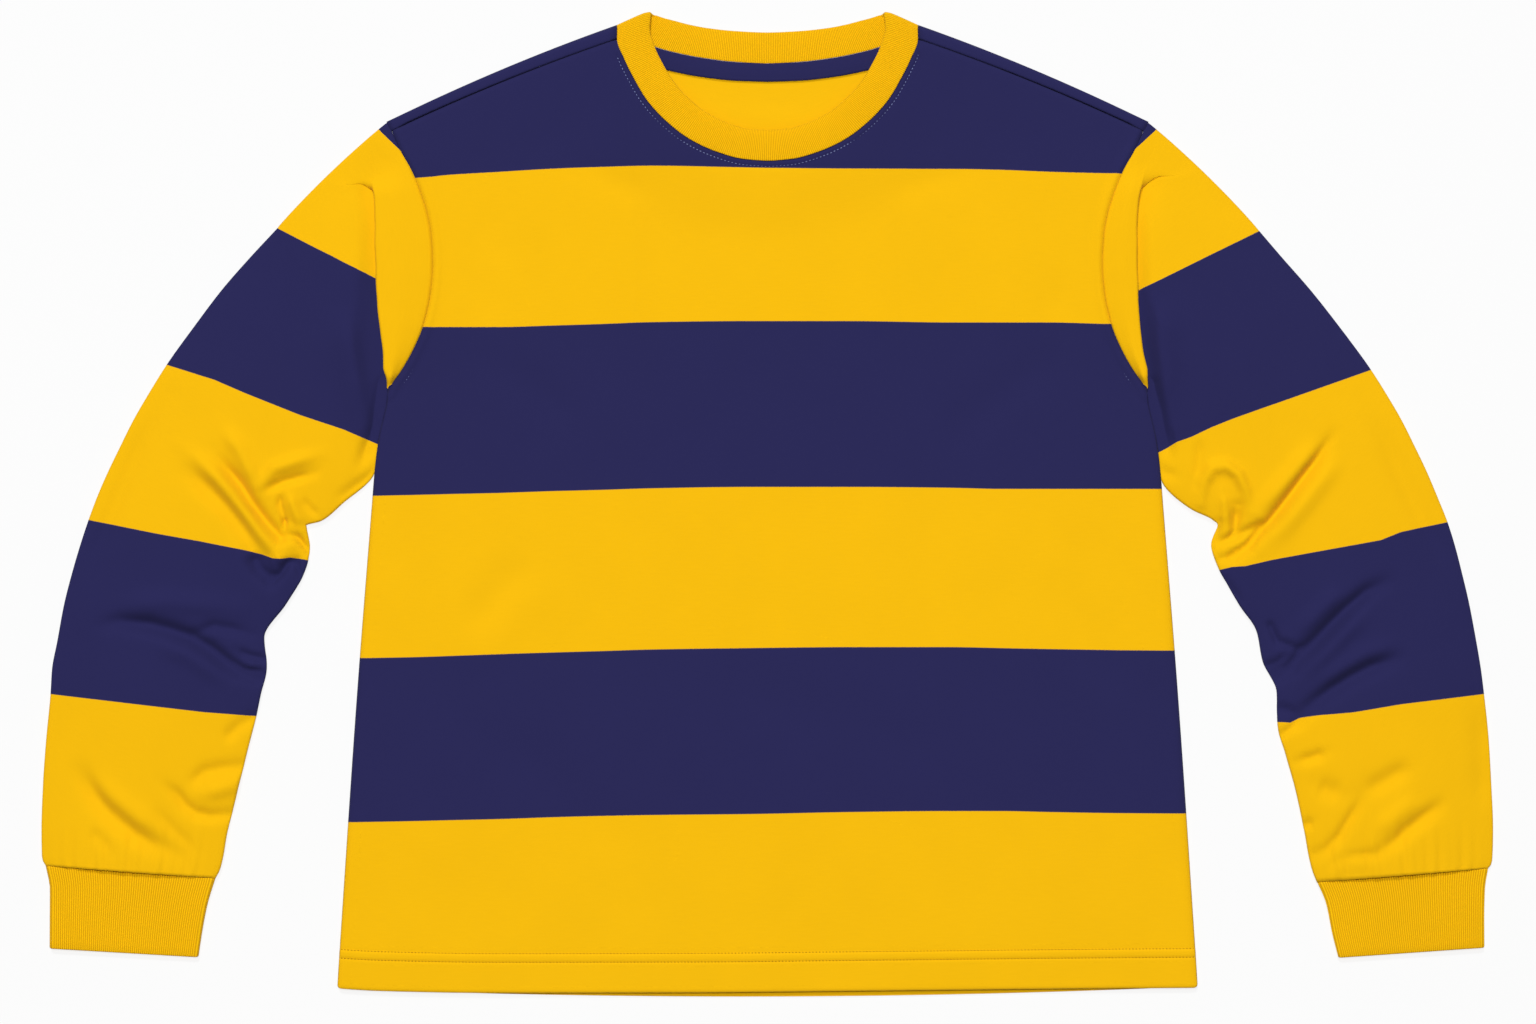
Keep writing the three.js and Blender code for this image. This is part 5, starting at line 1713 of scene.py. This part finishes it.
def through_line(line: np.ndarray, at: np.ndarray) -> np.ndarray:
    """Read places along a line of points, by length."""
    reach = run_lengths(line)
    return np.stack([np.interp(at, reach, line[:, k]) for k in range(line.shape[1])], axis=1)


@dataclass
class Neckband:
    """The doubled rib neckband: a ring that turns over at both shoulder folds."""

    ribs: int = 390
    half: float = RIB / 2
    cut: tuple[float, float] = (0.62, 0.021)

    def half_ring(self) -> tuple[np.ndarray, np.ndarray]:
        """Place the seam edge and the free edge from centre front round to centre back.

        Returns:
            The two edges' places.
        """
        turn = (NECK_LAYER - self.half) / 2
        middle = (NECK_LAYER + self.half) / 2
        lines = []
        for k in (0, 2):
            front = [(row[k], row[k + 1], NECK_LAYER) for row in FRONT_NECK]
            back = [(row[k], row[k + 1], self.half) for row in BACK_NECK]
            edge = np.array(NECK_FOLD[k : k + 2])
            front_way = unit(np.array(front[-1][:2]) - edge)
            back_way = unit(np.array(back[0][:2]) - edge)
            turned = []
            for share in (0.2, 0.4, 0.6, 0.8):
                angle = share * math.pi
                inset = turn + self.half - turn * math.sin(angle)
                place = edge + unit(mix(front_way, back_way, share)) * inset
                turned.append((*place, middle + turn * math.cos(angle)))
            lines.append(np.array(front + turned + back))
        return lines[0], lines[1]

    def build(self, rib: bpy.types.Material) -> bpy.types.Object:
        """Build and dress the neckband.

        Args:
            rib: The rib's material.

        Returns:
            The finished piece.
        """
        seam, free = self.half_ring()
        mirror = np.array([-1.0, 1.0, 1.0])
        rings = [np.concatenate([line, (line * mirror)[-2::-1]]) for line in (seam, free)]
        whole = (rings[0] + rings[1]) / 2
        reach = run_lengths(whole)
        at = np.linspace(0, reach[-1], self.ribs * 4 + 1)
        edges = []
        for ring in rings:
            padded = np.concatenate([ring[-4:-1], ring, ring[1:4]])
            places = np.concatenate([reach[-4:-1] - reach[-1], reach, reach[-1] + reach[1:4]])
            edges.append(through(places, padded, at))
        shares = np.array([0.0, 0.03, 0.08, 0.2, 0.35, 0.5, 0.65, 0.8, 0.9, 0.955])
        middle = np.array([mix(edges[0], edges[1], share) for share in shares])
        middle[:, :, 2] += np.where(edges[1][:, 2] > 6, 0.9, 0.5)[None, :] * (
            np.sin(np.pi * np.clip(shares, 0, 1)) ** 0.8 - 0.8 * ease(shares, 0.75, 1)
        )[:, None]
        rounding = np.clip((shares - 0.7) / 0.3, 0, 1) ** 2
        middle[:, :, 1] -= 1.4 * rounding[:, None] * ease(edges[1][:, 1], 334, 343)[None, :]
        piece = rib_wall("neckband_rib", middle, self.half, self.ribs, rib)
        settle(piece, ["neckband"])
        return piece


@dataclass
class BackNeckTrim:
    """The navy tape over the back neck seam, and the yellow facing below it."""

    tape_width: float = 13.0
    facing_drop: float = 84.0
    side_drop: float = 16.0
    tape_layer: float = 3.4
    facing_layer: float = 1.7

    def seam(self, reach: float, count: int) -> np.ndarray:
        """Place the back neck seam between two reaches.

        Args:
            reach: How far it goes to each side.
            count: How many places to give.

        Returns:
            The seam's places.
        """
        rows = np.asarray([(105.0, 331.5), *[row[:2] for row in BACK_NECK]], dtype=float)
        x = np.linspace(-reach, reach, count)
        return np.stack([x, through(rows[::-1, 0], rows[::-1, 1], np.abs(x))], axis=1)

    def build_tape(self, twill: bpy.types.Material) -> bpy.types.Object:
        """Build and dress the tape.

        Args:
            twill: The tape's material.

        Returns:
            The finished piece.
        """
        line = self.seam(97, 121)
        out = np.abs(line[:, 0]) / 97
        rows = []
        for share in np.linspace(0, 1, 9):
            drop = mix(0.4, self.tape_width * (1 + 0.1 * out), share)
            stitched = 0.25 * math.exp(-(((share - 0.83) / 0.06) ** 2))
            height = self.tape_layer + 0.35 * math.sin(math.pi * share) - stitched
            rows.append(np.stack([line[:, 0], line[:, 1] - drop, np.full(121, height)], axis=1))
        piece = ClothGrid("back_neck_tape", np.array(rows)[::-1], thickness=0.9).build(twill)
        settle(piece, ["neck_tape"])
        return piece

    def build_facing(self, cloth: bpy.types.Material) -> bpy.types.Object:
        """Build and dress the half-moon facing.

        Args:
            cloth: The cloth's material.

        Returns:
            The finished piece.
        """
        line = self.seam(97, 97)
        out = np.abs(line[:, 0]) / 97
        rows = []
        for share in np.linspace(0.01, 1, 49):
            drop = 0.8 + share * mix(self.side_drop, self.facing_drop, np.sqrt(1 - out**2))
            plan = np.stack([line[:, 0], line[:, 1] - drop], axis=1)
            height = self.facing_layer + creased(FACING_CREASES, plan)
            rows.append(np.concatenate([plan, height[:, None]], axis=1))
        piece = ClothGrid("back_neck_facing_cloth", np.array(rows)[::-1], thickness=0.8).build(cloth)
        settle(piece, ["back_neck_facing"])
        return piece


FACING_CREASES = (
    Crease(((-20, 281), (8, 279), (30, 284)), -0.3, 7, 7),
    Crease(((-40, 272), (10, 268), (45, 274)), 0.4, 8, 8),
)


@dataclass
class StitchRow:
    """A row of stitches as small raised beads along a line."""

    name: str
    line: np.ndarray
    pitch: float = 2.4
    length: float = 1.5
    width: float = 0.75
    rise: float = 0.5

    def build(self, thread: bpy.types.Material, slot: str) -> bpy.types.Object:
        """Build and dress the row.

        Args:
            thread: The thread's material.
            slot: Not used.

        Returns:
            The joined stitches.
        """
        reach = run_lengths(self.line)
        count = int(reach[-1] / self.pitch)
        at = (np.arange(count) + 0.5) * reach[-1] / count
        places = through_line(self.line, at)
        ways = unit(through_line(self.line, at + 0.3) - through_line(self.line, at - 0.3))
        mesh = bmesh.new()
        for place, way in zip(places, ways):
            turn = Vector(way).to_track_quat("X", "Z").to_matrix().to_4x4()
            size = Matrix.Diagonal((self.length / 2 * MM, self.width / 2 * MM, self.rise / 2 * MM, 1))
            move = Matrix.Translation(Vector(place * MM)) @ turn @ size
            bmesh.ops.create_icosphere(mesh, subdivisions=1, radius=1.0, matrix=move)
        piece = finished(self.name, mesh, thread)
        settle(piece)
        return piece


@dataclass
class Stitching:
    """The rows of stitches that show on the hem, the neck and the armholes."""

    skin: float = CLOTH / 2

    def on_front(self, plan: np.ndarray, sink: float = 0.05) -> np.ndarray:
        """Put a flat line onto the front's surface."""
        height = BODY.front_height(plan) + self.skin + sink
        return np.concatenate([plan, height[:, None]], axis=1)

    def build(self, amber: bpy.types.Material, blue: bpy.types.Material) -> None:
        """Build every row.

        Args:
            amber: The amber thread.
            blue: The pale blue thread.
        """
        for i, above in enumerate(HEM_ROWS):
            x = np.linspace(-299.0, 299.0, 400)
            plan = np.stack([x, BODY.front_hem_y(x) + above], axis=1)
            row = StitchRow(f"hem_stitches_{i + 1}", self.on_front(plan), pitch=2.35)
            row.build(amber, "body_jersey")
        neck = BODY.neckline(4.1)[:-3]
        whole = np.concatenate([(neck * np.array([-1.0, 1.0]))[::-1], neck[1:]])
        row = StitchRow("neck_topstitching", self.on_front(whole), pitch=2.6, length=1.5, width=0.8)
        row.build(blue, "body_jersey")
        for side in Side:
            line = BODY.armhole(-6.6)[10:-8] * np.array([float(side.value), 1.0])
            name = f"{side.word}_armhole_topstitching"
            yoke = line[(line[:, 1] > 229) & (line[:, 1] < BODY.seam_y(line[:, 0]) - 1.5)]
            chest = line[(line[:, 1] <= 229) & (line[:, 1] > 124)]
            lower = line[line[:, 1] <= 124]
            parts = (("yoke", yoke, blue), ("chest", chest, amber), ("lower", lower, blue))
            for word, part, thread in parts:
                plan = self.on_front(part, -0.1)
                row = StitchRow(f"{name}_{word}", plan, pitch=2.6, length=1.2, width=0.5)
                row.build(thread, "body_jersey")


@dataclass
class Studio:
    """A pale floor, soft light and a camera that looks straight down."""

    camera_height: float = 2.991
    look_at: tuple[float, float] = (0.00035, -0.0063)
    floor_half: float = 8.0

    def build(self) -> None:
        """Build the floor, the lights and the camera."""
        mesh = bmesh.new()
        bmesh.ops.create_grid(mesh, x_segments=8, y_segments=8, size=self.floor_half)
        for vertex in mesh.verts:
            vertex.co.z = -0.0004
        material = bpy.data.materials.new("pale_floor")
        material.use_nodes = True
        shader = material.node_tree.nodes["Principled BSDF"]
        shader.inputs["Base Color"].default_value = (0.14, 0.14, 0.14, 1.0)
        shader.inputs["Emission Color"].default_value = (1.0, 1.0, 1.0, 1.0)
        shader.inputs["Emission Strength"].default_value = 0.80
        shader.inputs["Roughness"].default_value = 0.9
        shader.inputs["Specular IOR Level"].default_value = 0.1
        finished("floor", mesh, material)
        scene = bpy.context.scene
        world = bpy.data.worlds.new("soft_room")
        world.use_nodes = True
        world.node_tree.nodes["Background"].inputs["Color"].default_value = (1, 1, 1, 1)
        world.node_tree.nodes["Background"].inputs["Strength"].default_value = 0.16
        scene.world = world
        self.lamp("overhead", (-0.1, 0.6, 3.6), 0.8, 94.0)
        sun = bpy.data.lights.new("high_window", "SUN")
        sun.energy = 1.6
        sun.angle = math.radians(9)
        window = bpy.data.objects.new("high_window", sun)
        window.rotation_euler = Vector((0.10, -0.62, -0.78)).to_track_quat("-Z", "Y").to_euler()
        scene.collection.objects.link(window)
        scene.view_settings.view_transform = "Standard"
        camera = bpy.data.objects.new("camera", bpy.data.cameras.new("camera"))
        camera.data.lens = 100.0
        camera.data.sensor_width = 36.0
        camera.location = (*self.look_at, self.camera_height)
        scene.collection.objects.link(camera)
        scene.camera = camera

    def lamp(self, name: str, place: tuple[float, float, float], size: float, power: float) -> None:
        """Hang one square soft light that faces the shirt.

        Args:
            name: The lamp's name.
            place: Where it hangs.
            size: Its side.
            power: Its power in watts.
        """
        data = bpy.data.lights.new(name, "AREA")
        data.energy = power
        data.size = size
        lamp = bpy.data.objects.new(name, data)
        lamp.location = place
        lamp.rotation_euler = (-Vector(place)).to_track_quat("-Z", "Y").to_euler()
        bpy.context.scene.collection.objects.link(lamp)


def main() -> None:
    """Build the shirt piece by piece and light it."""
    logging.basicConfig(level=logging.INFO, format="%(name)s: %(message)s")
    finishes = Finishes(knit_group(), yarn_group())
    jersey = Cotton("striped_jersey", YELLOW, second=NAVY).build(finishes)
    # The rib's second colour is painted shade between its ribs.
    rib = Cotton(
        "yellow_rib", RIB_YELLOW, RIB_GROOVE_SHADE, columns=1250, courses=1500, depth=0.2, stripe_edge=0.95
    ).build(finishes)
    facing = Cotton("yellow_facing", YELLOW).build(finishes)
    twill = Cotton("navy_tape", NAVY, columns=2000, courses=700, depth=0.3).build(finishes)
    amber = Cotton("amber_thread", AMBER).build(finishes)
    blue = Cotton("blue_thread", STEEL_BLUE).build(finishes)

    Studio().build()
    BackPanel().build(jersey)
    FrontPanel().build(jersey)
    for side, shape in ((Side.RIGHT, RIGHT_SLEEVE), (Side.LEFT, LEFT_SLEEVE)):
        Sleeve(side, shape).build(jersey)
        Cuff(side, shape).build(rib)
    Neckband().build(rib)
    trim = BackNeckTrim()
    trim.build_facing(facing)
    trim.build_tape(twill)
    Stitching().build(amber, blue)

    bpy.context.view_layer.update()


if __name__ == "__main__":
    main()
